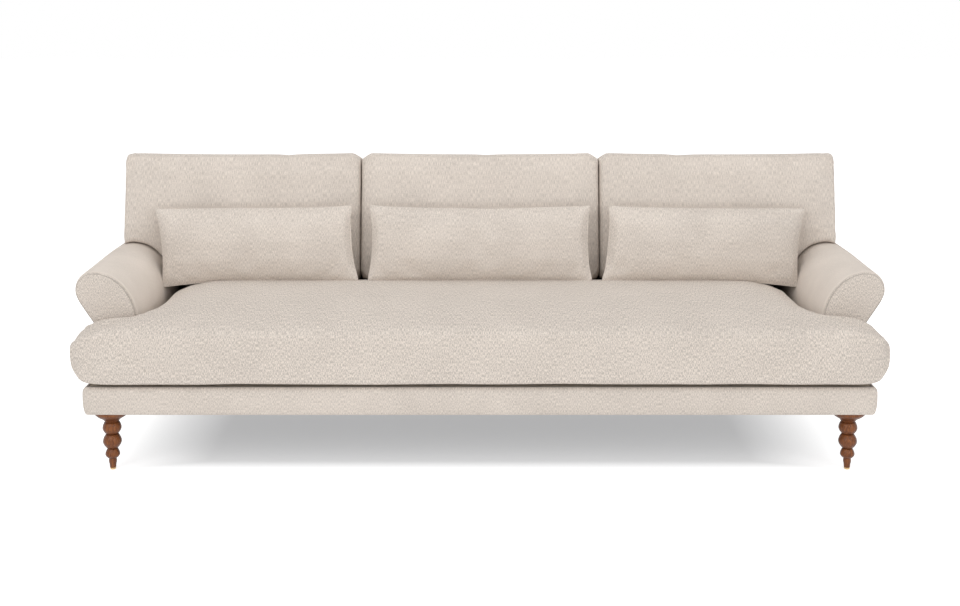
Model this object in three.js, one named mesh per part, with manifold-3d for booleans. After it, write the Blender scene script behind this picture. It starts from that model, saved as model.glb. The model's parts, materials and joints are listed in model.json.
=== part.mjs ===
// English roll arm sofa with a T-shaped seat cushion, three back cushions and three lumbar pillows.
// Millimetres. X runs along the sofa, the front faces -Y and Z is up.
// The origin is on the floor under the middle of the sofa, and left is -X.

import * as THREE from 'three';
import { mergeVertices } from 'three/addons/utils/BufferGeometryUtils.js';
import Module from 'manifold-3d';

const wasm = await Module();
wasm.setup();

// Whole sofa
const seatWidth = 2100;
const overallDepth = 990;
const legHeight = 184;
const baseHeight = 86;
const backHeight = 536;
const backRakeDegrees = 11;
const armSetBack = 170;
const baseSetBack = 20;
const baseStandOut = 17;

// Fits
const clearance = 0.3;
const overrun = 30;

// Base frame
const railThickness = 30;
const boardEase = 3;
const stretcherThickness = 26;
const stretcherHeight = 45;
const blockLeg = 80;
const blockHeight = 56;
const blockChamferShare = 0.4;
const deckThickness = 12;
const dustCoverThickness = 1.2;
const dustCoverSetIn = 26;
const dustCoverLegGap = 2;

// Webbing
const strapWidth = 50;
const strapThickness = 2;
const strapStitch = 0.5;
const strapEndGap = 4;
const seatStrapPitches = 15;
const stretcherPitches = 3;
const crossStrapCount = 4;
const crossStrapMargin = 60;
const backCrossStrapShares = [0.36, 0.72];

// Padded base band, and the outside of the back, which has the same padding
const coverPadding = 20;
const bandCornerRadius = 28;
const bandCornerSteps = 6;
const bandFootRise = 38;
const bandTopRoundShare = 0.93;
const bandFootRoundShare = 0.65;

// Turned legs
const legFromSideRail = 25;
const legFromEndRail = 14;
const flangeRadius = 51;
const flangeRim = 7;
const collarRadius = 23;
const upperBeadRadius = 28;
const upperNeckRadius = 17.6;
const middleBeadRadius = 27.8;
const lowerNeckRadius = 14.4;
const lowerBeadRadius = 21.6;
const ankleRadius = 12.7;
const footRadius = 9.3;
const ferruleHeight = 7;
const ferruleRadius = 8.9;
const ferruleFootRadius = 5;
const ferruleWall = 1.2;
const ferruleFloor = 2.5;
const legSegments = 14;
const legStationShares = {
  collar: 0.81,
  upperBead: 0.708,
  upperNeck: 0.607,
  middleBead: 0.481,
  lowerNeck: 0.363,
  lowerBead: 0.262,
  ankle: 0.196,
};

// Leg fixings
const boltRadius = 4;
const boltGrip = 45;
const boltTip = 6;
const boltBelowNut = 1;
const boltSegments = 8;
const nutBarrelRadius = 5.5;
const nutBarrelLength = 12;
const nutFlangeRadius = 9.5;
const nutFlangeThickness = 1.6;

// Rolled arms
const armBodyWidth = 124;
const armRise = 323;
const rollRadius = 61;
const rollOverhang = 76;
const innerRise = 168;
const underRollDegrees = 33;
const underRollFillet = 16;
const armPadding = 22;
const armLip = 6;
const armLipDepth = 11;
const armArcSteps = 7;
const panelInset = 5;
const panelDepth = 14;
const panelEdge = 12;
const stumpThickness = 22;
const stumpFootGap = 3;
const stumpMargin = 4;
const armRailRoom = 4;
const armRailSegments = 14;
const panelRingShares = [[0, 0], [0, 0.5], [0.2, 0.74], [0.6, 0.9], [1.3, 0.97], [2.2, 1]];

// Back frame
const postWidth = 45;
const postDepth = 36;
const topRailHeight = 60;
const tackRailHeight = 50;
const tackRailDepth = 16;
const tackRailRise = 112;
const insidePadThickness = 19;
const backEdgeRadius = 18;
const backEndRoundShare = 0.8;
const roundSteps = 4;

// Seat cushion
const seatBorderHeight = 161;
const seatCrown = 60;
const seatCrestDepth = 520;
const seatRearGap = 8;
const seatBulge = 14;
const seatEarWidth = 180;
const seatEarGap = 4;
const seatEdgeFall = 190;
const seatFrontPower = 2.6;
const seatBorderFallShare = 0.41;
const seatDrawIn = 4;
const earFrontRadius = 55;
const earRearRadius = 30;
const seatRearRadius = 40;
const earShoulderDrop = 24;
const earShoulderReach = 60;
const earFootLift = 28;
const earFootReach = 45;
const seatColumnShares = [0, 0.2, 0.4, 0.6, 0.76, 0.86, 0.93, 0.975, 1];
const earColumnShares = [0.35, 0.65, 0.85, 0.96, 1];
const earRowShares = [0, 0.3, 0.65, 1];
const seatRowShares = [0.1, 0.3, 0.62, 1];
const seatRearRowShares = [0.3, 0.6, 0.86, 1];
const earBlendShares = [0.6, 1.94];
const boxingShares = [[0.12, 0.62], [0.33, 0.95], [0.5, 1], [0.67, 0.95], [0.88, 0.62]];

// Back cushions
const backCushionHeight = 440;
const backCushionBoxing = 208;
const backFrontCrown = 24;
const backRearCrown = 12;
const backCushionBulge = 13;
const backCushionReach = 178;
const backCushionArmGap = 2;
const backCornerRadius = 20;
const backTopDip = 5;
const backEdgeFall = 120;
const backColumnShares = [0, 0.03, 0.09, 0.22, 0.42, 0.58, 0.78, 0.91, 0.97, 1];
const backInnerColumnShares = [0, 0.04, 0.13, 0.32, 0.55, 0.8, 1];
const overArmColumnShares = [0.03, 0.1, 0.22, 0.4, 0.6, 0.8, 0.93, 1];
const backRowShares = [0, 0.05, 0.16, 0.38, 0.64, 0.86, 0.96, 1];

// Lumbar pillows
const lumbarWidth = 744;
const lumbarHeight = 250;
const lumbarCrown = 53;
const lumbarEdge = 5;
const lumbarEdgeRound = 2;
const lumbarLeanDegrees = 8;
const lumbarSideDraw = 13;
const lumbarTopDraw = 9;
const lumbarGap = 37;
const lumbarArmGap = 2;
const lumbarShear = 26;
const lumbarFullness = 0.62;
const lumbarColumnShares = [-1, -0.95, -0.84, -0.62, -0.32, 0, 0.32, 0.62, 0.84, 0.95, 1];
const lumbarRowShares = [-1, -0.84, -0.5, 0, 0.5, 0.84, 1];
const weltShares = [[0.5, 1]];
const settlePasses = 3;
const edgeSampleShares = [0, 0.25, 0.5, 0.75];

// Places worked out from the sizes above
const halfSeat = seatWidth / 2;
const frontY = -overallDepth / 2;
const rake = THREE.MathUtils.degToRad(backRakeDegrees);
const backTopY = overallDepth / 2 + backEdgeRadius * Math.tan(rake);
const baseTop = legHeight + baseHeight;
const backTop = baseTop + backHeight;
const baseHalfWidth = halfSeat + armBodyWidth + baseStandOut;
const baseFrontY = frontY + baseSetBack;
const baseRearY = rakedY(0, baseTop);
const postRear = coverPadding + clearance;
const postFront = postRear + postDepth;
const crossStrapFront = postFront + clearance + strapThickness;
const padRear = crossStrapFront + strapThickness - strapStitch + clearance;
const backDepth = padRear + insidePadThickness;

const railOuterX = baseHalfWidth - coverPadding - clearance;
const railInnerX = railOuterX - railThickness;
const frontRailFrontY = baseFrontY + coverPadding + clearance;
const frontRailRearY = frontRailFrontY + railThickness;
const rearRailRearY = baseRearY - coverPadding - clearance;
const rearRailFrontY = rearRailRearY - railThickness;
const longStrapTop = baseTop - deckThickness - clearance;
const longStrapFoot = longStrapTop - strapThickness;
const crossStrapTop = longStrapFoot + strapStitch;
const crossStrapFoot = crossStrapTop - strapThickness;
const endRailTop = longStrapFoot - clearance;
const sideRailTop = crossStrapFoot - clearance;
const strapPitch = seatWidth / seatStrapPitches;
const innerPostX = stretcherPitches * strapPitch;

const armFrontY = frontY + armSetBack;
const armCoverFrontY = armFrontY + panelDepth + clearance;
const frontStumpRearY = armCoverFrontY + stumpThickness;
const rearStumpRearY = rearRailFrontY - blockLeg - stumpMargin;
const rearStumpFrontY = rearStumpRearY - stumpThickness;
const rollCentreU = armBodyWidth + rollOverhang - rollRadius;
const rollCentreV = armRise - rollRadius;
const springV = armRise - innerRise;
const stumpInset = armPadding + clearance;

// Finishes
const linen = finish(0xd6ccc0, 0.95);
const platformCloth = finish(0xcbbfae, 0.95);
const walnut = finish(0x8c5532, 0.42);
const brass = finish(0xd7a550, 0.28, 1);
const hardwood = finish(0xc8a878, 0.7);
const steel = finish(0xb4b7ba, 0.35, 1);
const jute = finish(0xa88f66, 0.9);
const dustCloth = finish(0x2a2a2c, 0.95);

function finish(color, roughness, metalness = 0) {
  return new THREE.MeshStandardMaterial({ color, roughness, metalness });
}

function piece(name, geometry, material) {
  const mesh = new THREE.Mesh(geometry, material.clone());
  mesh.name = name;
  return mesh;
}

function sideName(side) {
  return side < 0 ? 'left' : 'right';
}

// Y of the plane that lies a distance in front of the back's raked outer face, at height z
function rakedY(distance, z) {
  return backTopY - (backTop - z) * Math.tan(rake) - distance / Math.cos(rake);
}

// A closed mesh from points and triangles, turned so that its faces point out
function closedGeometry(points, triangles) {
  let volume = 0;
  for (let i = 0; i < triangles.length; i += 3) {
    const [a, b, c] = [0, 1, 2].map((k) => points[triangles[i + k]]);
    volume += a.dot(new THREE.Vector3().crossVectors(b, c));
  }
  const faces = volume < 0 ? [...triangles].reverse() : triangles;
  const geometry = new THREE.BufferGeometry().setFromPoints(points);
  geometry.setIndex(faces);
  geometry.computeVertexNormals();
  return geometry;
}

// Joins two rings of point numbers with triangles
function stitch(triangles, upper, lower) {
  upper.forEach((a, k) => {
    const next = (k + 1) % upper.length;
    triangles.push(upper[next], a, lower[k]);
    triangles.push(upper[next], lower[k], lower[next]);
  });
}

// Closes a ring with triangles that follow its direction, seen through a flattening function
function capRing(triangles, points, ring, flatten, reversed) {
  const flat = ring.map((id) => flatten(points[id]));
  const clockwise = THREE.ShapeUtils.area(flat) < 0;
  for (const face of THREE.ShapeUtils.triangulateShape(flat, [])) {
    const faceClockwise = THREE.ShapeUtils.area(face.map((k) => flat[k])) < 0;
    const ids = face.map((k) => ring[k]);
    if ((faceClockwise !== clockwise) !== reversed) ids.reverse();
    triangles.push(...ids);
  }
}

// A body through rings of equal length: closed at both ends, or joined round on itself
function loft(rings, flatten, endless = false) {
  const points = rings.flat();
  const triangles = [];
  const count = rings[0].length;
  const ids = rings.map((ring, r) => ring.map((point, k) => r * count + k));
  ids.slice(1).forEach((ring, r) => stitch(triangles, ids[r], ring));
  if (endless) {
    stitch(triangles, ids.at(-1), ids[0]);
  } else {
    capRing(triangles, points, ids[0], flatten, false);
    capRing(triangles, points, ids.at(-1), flatten, true);
  }
  return closedGeometry(points, triangles);
}

// Moves an outline sideways, to the right of its direction, and keeps its corners sharp
function shifted(outline, distance, closed) {
  const count = outline.length;
  const normal = (from, to) => {
    const along = to.clone().sub(from).normalize();
    return new THREE.Vector2(along.y, -along.x);
  };
  return outline.map((point, k) => {
    const before = k > 0 || closed ? outline[(k + count - 1) % count] : null;
    const after = k < count - 1 || closed ? outline[(k + 1) % count] : null;
    const a = before ? normal(before, point) : normal(point, after);
    const b = after ? normal(point, after) : a;
    const miter = a.clone().add(b).divideScalar(1 + a.dot(b));
    return point.clone().addScaledVector(miter, distance);
  });
}

const xAxis = new THREE.Vector3(1, 0, 0);
const yAxis = new THREE.Vector3(0, 1, 0);
const zAxis = new THREE.Vector3(0, 0, 1);

// Where an outline's two directions and its depth point, for a prism along each axis
const prismFrames = {
  x: [yAxis, zAxis, xAxis],
  y: [xAxis, zAxis, yAxis.clone().negate()],
  z: [xAxis, yAxis, zAxis],
};
const prismPlanes = { x: ['y', 'z'], y: ['x', 'z'], z: ['x', 'y'] };

// An outline in the other two axes, carried along one axis
function prism(axis, outline, from, to, options = {}) {
  const shape = new THREE.Shape(outline);
  shape.holes = (options.holes ?? []).map((hole) => new THREE.Path(hole));
  const settings = { depth: to - from, bevelEnabled: false, ...options.bevel };
  const geometry = new THREE.ExtrudeGeometry(shape, settings);
  const start = axis === 'y' ? to : from;
  const placed = new THREE.Matrix4().makeBasis(...prismFrames[axis]);
  placed.setPosition({ x: xAxis, y: yAxis, z: zAxis }[axis].clone().multiplyScalar(start));
  return geometry.applyMatrix4(placed);
}

function rectangle([a0, a1], [b0, b1]) {
  return [[a0, b0], [a1, b0], [a1, b1], [a0, b1]].map(([a, b]) => new THREE.Vector2(a, b));
}

function easedRectangle([a0, a1], [b0, b1], ease) {
  const corners = [
    [a0 + ease, b0], [a1 - ease, b0], [a1, b0 + ease], [a1, b1 - ease],
    [a1 - ease, b1], [a0 + ease, b1], [a0, b1 - ease], [a0, b0 + ease],
  ];
  return corners.map(([a, b]) => new THREE.Vector2(a, b));
}

// A board with eased long edges, filling the given spans
function board(axis, span) {
  const [across, up] = prismPlanes[axis];
  return prism(axis, easedRectangle(span[across], span[up], boardEase), ...span[axis]);
}

function block(span) {
  return prism('z', rectangle(span.x, span.y), ...span.z);
}

// An outline in Y and Z between two planes of the back, cut level at both heights
function rakedOutline(rear, front, low, high) {
  return [[rear, low], [rear, high], [front, high], [front, low]]
    .map(([distance, z]) => new THREE.Vector2(rakedY(distance, z), z));
}

function circle(centre, radius, segments) {
  return Array.from({ length: segments }, (_, k) => {
    const turn = (2 * Math.PI * k) / segments;
    return new THREE.Vector2(Math.cos(turn), Math.sin(turn)).multiplyScalar(radius).add(centre);
  });
}

// Points of an elliptical arc, both ends included
function arc(centre, radii, from, to, steps) {
  return Array.from({ length: steps + 1 }, (_, k) => {
    const turn = from + ((to - from) * k) / steps;
    return new THREE.Vector2(Math.cos(turn) * radii.x, Math.sin(turn) * radii.y).add(centre);
  });
}

function toSolid(geometry) {
  const bare = geometry.clone();
  bare.deleteAttribute('normal');
  bare.deleteAttribute('uv');
  const merged = mergeVertices(bare);
  const vertProperties = merged.attributes.position.array;
  const triVerts = Uint32Array.from(merged.index.array);
  return new wasm.Manifold(new wasm.Mesh({ numProp: 3, vertProperties, triVerts }));
}

function toGeometry(solid) {
  const { vertProperties, triVerts } = solid.getMesh();
  const geometry = new THREE.BufferGeometry();
  geometry.setAttribute('position', new THREE.BufferAttribute(vertProperties, 3));
  geometry.setIndex(new THREE.BufferAttribute(triVerts, 1));
  geometry.computeVertexNormals();
  return geometry;
}

function joined(geometries) {
  return toGeometry(geometries.map(toSolid).reduce((all, next) => all.add(next)));
}

function cut(geometry, tools) {
  return toGeometry(tools.map(toSolid).reduce((left, tool) => left.subtract(tool), toSolid(geometry)));
}

// A round piece turned about Z from a profile of radius and height, from its foot to its top
function turned(profile, segments) {
  return new THREE.LatheGeometry(profile, segments).rotateX(Math.PI / 2);
}

// Joins stations of radius and height with S-curves, so that each bead and neck is round
function flowing(stations, steps) {
  const profile = [stations[0]];
  stations.slice(1).forEach((station, k) => {
    const before = stations[k];
    for (let s = 1; s <= steps; s += 1) {
      const along = s / steps;
      const eased = (1 - Math.cos(Math.PI * along)) / 2;
      const radius = THREE.MathUtils.lerp(before.x, station.x, eased);
      profile.push(new THREE.Vector2(radius, THREE.MathUtils.lerp(before.y, station.y, along)));
    }
  });
  return profile;
}

// Base frame

function seatRails() {
  const ends = [-railOuterX, railOuterX];
  const endHeights = [legHeight, endRailTop];
  const front = { x: ends, y: [frontRailFrontY, frontRailRearY], z: endHeights };
  const rear = { x: ends, y: [rearRailFrontY, rearRailRearY], z: endHeights };
  const rails = [
    piece('front_seat_rail', board('x', front), hardwood),
    piece('rear_seat_rail', board('x', rear), hardwood),
  ];
  for (const side of [-1, 1]) {
    const span = {
      x: [side * railInnerX, side * railOuterX].sort((a, b) => a - b),
      y: [frontRailRearY + clearance, rearRailFrontY - clearance],
      z: [legHeight, sideRailTop],
    };
    rails.push(piece(`${sideName(side)}_seat_rail`, board('y', span), hardwood));
  }
  return rails;
}

function seatStretcher(side) {
  const centre = side * innerPostX;
  const span = {
    x: [centre - stretcherThickness / 2, centre + stretcherThickness / 2],
    y: [frontRailRearY + clearance, rearRailFrontY - clearance],
    z: [legHeight, legHeight + stretcherHeight],
  };
  return piece(`${sideName(side)}_seat_stretcher`, board('y', span), hardwood);
}

// Straps from front to rear over the end rails, stitched to cross straps that lie under them
function seatWebbing() {
  const straps = [];
  const reach = seatStrapPitches / 2 - 1;
  for (let k = -reach; k <= reach; k += 1) {
    straps.push(block({
      x: [k * strapPitch - strapWidth / 2, k * strapPitch + strapWidth / 2],
      y: [frontRailFrontY + strapEndGap, rearRailRearY - strapEndGap],
      z: [longStrapFoot, longStrapTop],
    }));
  }
  const first = frontStumpRearY + crossStrapMargin;
  const last = rearStumpFrontY - crossStrapMargin;
  for (let k = 0; k < crossStrapCount; k += 1) {
    const centre = first + ((last - first) * k) / (crossStrapCount - 1);
    straps.push(block({
      x: [strapEndGap - railOuterX, railOuterX - strapEndGap],
      y: [centre - strapWidth / 2, centre + strapWidth / 2],
      z: [crossStrapFoot, crossStrapTop],
    }));
  }
  return piece('seat_webbing', joined(straps), jute);
}

// The padded deck over the webbing, with a slot round each arm stump
function seatDeck() {
  const deck = board('x', {
    x: [-railOuterX, railOuterX],
    y: [frontRailFrontY, rakedY(backDepth, baseTop) - clearance],
    z: [baseTop - deckThickness, baseTop],
  });
  const slots = [];
  for (const side of [-1, 1]) {
    for (const [front, rear] of [[armCoverFrontY, frontStumpRearY], [rearStumpFrontY, rearStumpRearY]]) {
      const inner = side * (halfSeat + stumpInset - clearance);
      const outer = side * (halfSeat + armBodyWidth - stumpInset + clearance);
      slots.push(block({
        x: [inner, outer].sort((a, b) => a - b),
        y: [front - clearance, rear + clearance],
        z: [baseTop - deckThickness - overrun, baseTop + overrun],
      }));
    }
  }
  return piece('seat_deck', cut(deck, slots), platformCloth);
}

// A thin sheet under the frame, notched at the corners round the leg flanges
function dustCover() {
  const top = legHeight - clearance;
  const sheet = block({
    x: [dustCoverSetIn - baseHalfWidth, baseHalfWidth - dustCoverSetIn],
    y: [baseFrontY + dustCoverSetIn, baseRearY - dustCoverSetIn],
    z: [top - dustCoverThickness, top],
  });
  const radius = flangeRadius + dustCoverLegGap;
  const heights = [top - dustCoverThickness - overrun, top + overrun];
  const notches = legPlaces().flatMap(({ centre, side, end }) => [
    prism('z', circle(centre, radius, legSegments), ...heights),
    block({
      x: [centre.x, centre.x + side * radius].sort((a, b) => a - b),
      y: [centre.y, centre.y + end * radius].sort((a, b) => a - b),
      z: heights,
    }),
  ]);
  return piece('dust_cover', cut(sheet, notches), dustCloth);
}

// Round the base's four corners: each station's centre, outward direction, and how much further
// out a square corner would lie there than a round one
function bandStations() {
  const stations = [];
  const corners = [[1, -1, -0.5], [1, 1, 0], [-1, 1, 0.5], [-1, -1, 1]];
  for (const [sideX, sideY, startTurn] of corners) {
    const endY = sideY < 0 ? baseFrontY : baseRearY;
    const centre = new THREE.Vector2(
      sideX * (baseHalfWidth - bandCornerRadius),
      endY - sideY * bandCornerRadius,
    );
    for (let k = 0; k <= bandCornerSteps; k += 1) {
      const turn = (startTurn + k / bandCornerSteps / 2) * Math.PI;
      const out = new THREE.Vector2(Math.cos(turn), Math.sin(turn));
      const squareness = 1 / Math.max(Math.abs(out.x), Math.abs(out.y)) - 1;
      stations.push({ centre, out, squareness });
    }
  }
  return stations;
}

// The padded band round the base: soft at the top edge, drawn in towards its foot, and square
// inside its corners, where the rails fill it
function baseBand() {
  const topRound = coverPadding * bandTopRoundShare;
  const footRound = coverPadding * bandFootRoundShare;
  const section = [
    new THREE.Vector2(coverPadding, legHeight),
    ...arc(
      new THREE.Vector2(footRound, legHeight + bandFootRise),
      new THREE.Vector2(footRound, bandFootRise),
      1.5 * Math.PI,
      Math.PI,
      roundSteps,
    ),
    ...arc(
      new THREE.Vector2(topRound, baseTop - topRound),
      new THREE.Vector2(topRound, topRound),
      Math.PI,
      Math.PI / 2,
      roundSteps,
    ),
    new THREE.Vector2(coverPadding, baseTop),
  ];
  const rings = bandStations().map(({ centre, out, squareness }) => section.map((corner) => {
    const inShare = corner.x / coverPadding;
    const reach = (bandCornerRadius - corner.x) * (1 + squareness * inShare);
    const place = centre.clone().addScaledVector(out, reach);
    return new THREE.Vector3(place.x, place.y, corner.y);
  }));
  return piece('base_band', loft(rings, null, true), linen);
}

// Legs and their fixings

function legPlaces() {
  const places = [];
  for (const end of [-1, 1]) {
    const y = end < 0 ? frontRailRearY + legFromEndRail : rearRailFrontY - legFromEndRail;
    for (const side of [-1, 1]) {
      const name = `${end < 0 ? 'front' : 'rear'}_${sideName(side)}`;
      places.push({ name, side, end, centre: new THREE.Vector2(side * (railInnerX - legFromSideRail), y) });
    }
  }
  return places;
}

// Triangular glue block in the corner of the rails, drilled for the leg's bolt
function cornerBlock({ name, side, end }) {
  const cornerX = railInnerX - clearance;
  const cornerY = end < 0 ? frontRailRearY + clearance : rearRailFrontY - clearance;
  const chamfer = blockLeg * blockChamferShare;
  const inward = [[0, 0], [blockLeg, 0], [blockLeg, chamfer], [chamfer, blockLeg], [0, blockLeg]];
  const outline = inward.map(([dx, dy]) => new THREE.Vector2(side * (cornerX - dx), cornerY - end * dy));
  const hole = new THREE.Vector2(
    side * (cornerX - legFromSideRail + clearance),
    cornerY - end * (legFromEndRail - clearance),
  );
  const holes = [circle(hole, nutBarrelRadius + clearance, boltSegments)];
  const shape = prism('z', outline, legHeight, legHeight + blockHeight, { holes });
  return piece(`${name}_corner_block`, shape, hardwood);
}

// Turned leg: wide flange, collar, three beads and a slim ankle, bored for its bolt
function leg({ name, centre }) {
  const top = legHeight - clearance;
  const at = (radius, share) => new THREE.Vector2(radius, legHeight * share);
  const beads = flowing([
    new THREE.Vector2(footRadius, ferruleHeight),
    at(ankleRadius, legStationShares.ankle),
    at(lowerBeadRadius, legStationShares.lowerBead),
    at(lowerNeckRadius, legStationShares.lowerNeck),
    at(middleBeadRadius, legStationShares.middleBead),
    at(upperNeckRadius, legStationShares.upperNeck),
    at(upperBeadRadius, legStationShares.upperBead),
    at(collarRadius, legStationShares.collar),
    new THREE.Vector2(flangeRadius, legHeight - flangeRim),
  ], 3);
  const tenonRadius = ferruleRadius - ferruleWall - clearance;
  const boreRadius = boltRadius + clearance;
  const boreFoot = legHeight - boltGrip - clearance;
  const profile = [
    new THREE.Vector2(0, ferruleFloor + clearance),
    new THREE.Vector2(tenonRadius, ferruleFloor + clearance),
    new THREE.Vector2(tenonRadius, ferruleHeight),
    ...beads,
    new THREE.Vector2(flangeRadius, top),
    new THREE.Vector2(boreRadius, top),
    new THREE.Vector2(boreRadius, boreFoot),
    new THREE.Vector2(0, boreFoot),
  ];
  const mesh = piece(`${name}_leg`, turned(profile, legSegments), walnut);
  mesh.position.set(centre.x, centre.y, 0);
  return mesh;
}

// Brass cup under the leg, with a small flat to stand on
function ferrule({ name, centre }) {
  const rim = ferruleHeight - clearance;
  const inner = ferruleRadius - ferruleWall;
  const profile = [
    new THREE.Vector2(0, 0),
    ...arc(
      new THREE.Vector2(ferruleFootRadius, ferruleHeight / 2),
      new THREE.Vector2(ferruleRadius - ferruleFootRadius, ferruleHeight / 2),
      -Math.PI / 2,
      0,
      roundSteps,
    ),
    new THREE.Vector2(ferruleRadius, rim),
    new THREE.Vector2(inner, rim),
    new THREE.Vector2(inner, ferruleFloor),
    new THREE.Vector2(0, ferruleFloor),
  ];
  const mesh = piece(`${name}_ferrule`, turned(profile, legSegments), brass);
  mesh.position.set(centre.x, centre.y, 0);
  return mesh;
}

function hangerBolt({ name, centre }) {
  const foot = legHeight - boltGrip;
  const top = legHeight + blockHeight - boltBelowNut;
  const profile = [
    new THREE.Vector2(0, foot),
    new THREE.Vector2(boltRadius / 2, foot),
    new THREE.Vector2(boltRadius, foot + boltTip),
    new THREE.Vector2(boltRadius, top),
    new THREE.Vector2(0, top),
  ];
  const mesh = piece(`${name}_hanger_bolt`, turned(profile, boltSegments), steel);
  mesh.position.set(centre.x, centre.y, 0);
  return mesh;
}

// Flanged nut pressed into the top of the corner block
function teeNut({ name, centre }) {
  const seat = legHeight + blockHeight + clearance;
  const bore = boltRadius + clearance;
  const profile = [
    new THREE.Vector2(bore, seat - nutBarrelLength),
    new THREE.Vector2(nutBarrelRadius, seat - nutBarrelLength),
    new THREE.Vector2(nutBarrelRadius, seat),
    new THREE.Vector2(nutFlangeRadius, seat),
    new THREE.Vector2(nutFlangeRadius, seat + nutFlangeThickness),
    new THREE.Vector2(bore, seat + nutFlangeThickness),
    new THREE.Vector2(bore, seat - nutBarrelLength),
  ];
  const mesh = piece(`${name}_tee_nut`, turned(profile, boltSegments), steel);
  mesh.position.set(centre.x, centre.y, 0);
  return mesh;
}

// Rolled arms

// The arm's section from the foot of its inner face, over the roll and down to the foot of its
// outer face: u runs outwards from the inner face, v upwards from the top of the base
function armSection() {
  const under = THREE.MathUtils.degToRad(underRollDegrees);
  const rollCentre = new THREE.Vector2(rollCentreU, rollCentreV);
  const inner = arc(
    new THREE.Vector2(rollCentreU, springV),
    new THREE.Vector2(rollCentreU, innerRise),
    Math.PI,
    Math.PI / 2,
    armArcSteps,
  );
  const roll = arc(
    rollCentre,
    new THREE.Vector2(rollRadius, rollRadius),
    Math.PI / 2,
    -under,
    armArcSteps,
  );
  const leaving = roll.at(-1);
  const drop = (leaving.x - armBodyWidth) / Math.tan(under);
  const corner = new THREE.Vector2(armBodyWidth, leaving.y - drop);
  const back = leaving.clone().sub(corner).setLength(underRollFillet);
  const filletTop = corner.clone().add(back);
  const filletFoot = corner.clone().setY(corner.y - underRollFillet);
  const filletMiddle = filletTop.clone().add(filletFoot).add(corner).add(corner).divideScalar(4);
  return [
    new THREE.Vector2(0, clearance),
    ...inner,
    ...roll.slice(1),
    filletTop,
    filletMiddle,
    filletFoot,
    new THREE.Vector2(armBodyWidth, clearance),
  ];
}

function armPoint(side, { x, y }, depth) {
  return new THREE.Vector3(side * (halfSeat + x), depth, baseTop + y);
}

const flattenArm = (point) => new THREE.Vector2(point.x, point.z);

// Height of the arm's top above a place at a distance from the middle, with the arm grown evenly
function armTopAt(distance, grow) {
  const u = distance - halfSeat;
  const onRoll = u > rollCentreU;
  const width = onRoll ? rollRadius + grow : rollCentreU + grow;
  const rise = onRoll ? rollRadius + grow : innerRise + grow;
  const foot = onRoll ? rollCentreV : springV;
  const share = Math.min(1, Math.abs(u - rollCentreU) / width);
  return baseTop + foot + rise * Math.sqrt(1 - share * share);
}

// The padded cover: open to the front and below, turned in over its front edge, and cut to the
// raked back
function armCover(side) {
  const outer = armSection();
  const stationShares = [[0, 1], [0.35, 0.3], [1, 0]];
  const rings = stationShares.map(([depthShare, lipShare]) => (
    shifted(outer, armLip * lipShare, false)
      .map((corner) => armPoint(side, corner, armCoverFrontY + armLipDepth * depthShare))
  ));
  const rearRing = (outline, distance) => outline.map((corner) => (
    armPoint(side, corner, rakedY(backDepth, baseTop + corner.y) - distance)
  ));
  rings.push(rearRing(outer, clearance));
  const inner = shifted(outer, armPadding, false);
  const section = [
    inner[0].clone().setY(-overrun),
    ...inner,
    inner.at(-1).clone().setY(-overrun),
  ];
  const hollow = loft([
    section.map((corner) => armPoint(side, corner, armCoverFrontY - overrun)),
    rearRing(section, clearance + armPadding),
  ], flattenArm);
  const shell = cut(loft(rings, flattenArm), [hollow]);
  return piece(`${sideName(side)}_arm_cover`, shell, linen);
}

// The padded panel that closes the front of the arm, slightly domed
function armFrontPanel(side) {
  const outline = shifted(armSection(), panelInset, true);
  const rear = armFrontY + panelDepth;
  const rings = panelRingShares.map(([insetShare, depthShare]) => (
    shifted(outline, panelEdge * insetShare, true)
      .map((corner) => armPoint(side, corner, rear - panelDepth * depthShare))
  ));
  return piece(`${sideName(side)}_arm_front_panel`, loft(rings, flattenArm), linen);
}

// A scroll-shaped board inside the cover: it steps over the side rail and runs down inside it
function armStump(side, end, front, rear) {
  const upper = shifted(armSection(), stumpInset, false).map((corner) => armPoint(side, corner, 0));
  const outline = upper.map((point) => new THREE.Vector2(point.x, point.z));
  const innerX = outline[0].x;
  const outerX = outline.at(-1).x;
  const stepX = side * (railInnerX - clearance);
  const foot = legHeight + stumpFootGap;
  outline.push(
    new THREE.Vector2(outerX, sideRailTop + clearance),
    new THREE.Vector2(stepX, sideRailTop + clearance),
    new THREE.Vector2(stepX, foot),
    new THREE.Vector2(innerX, foot),
  );
  return piece(`${sideName(side)}_arm_${end}_stump`, prism('y', outline, front, rear), hardwood);
}

// The rounded rail that carries the roll from stump to stump
function armTopRail(side) {
  const centre = new THREE.Vector2(side * (halfSeat + rollCentreU), baseTop + rollCentreV);
  const outline = circle(centre, rollRadius - armPadding - armRailRoom, armRailSegments);
  const from = frontStumpRearY + clearance;
  const to = rearStumpFrontY - clearance;
  return piece(`${sideName(side)}_arm_top_rail`, prism('y', outline, from, to), hardwood);
}

function arm(side) {
  return [
    armStump(side, 'front', armCoverFrontY, frontStumpRearY),
    armStump(side, 'rear', rearStumpFrontY, rearStumpRearY),
    armTopRail(side),
    armCover(side),
    armFrontPanel(side),
  ];
}

// Back

const topRailTop = backTop - coverPadding - clearance;
const topRailFoot = topRailTop - topRailHeight;
const tackRailFoot = baseTop + tackRailRise;
const tackRailTop = tackRailFoot + tackRailHeight;
const tackRailRear = postFront - tackRailDepth;

function backRails() {
  const top = rakedOutline(postRear, postFront, topRailFoot, topRailTop);
  const tack = rakedOutline(tackRailRear, postFront, tackRailFoot, tackRailTop);
  return [
    piece('back_top_rail', prism('x', top, -railOuterX, railOuterX), hardwood),
    piece('back_tack_rail', prism('x', tack, -railOuterX, railOuterX), hardwood),
  ];
}

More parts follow.
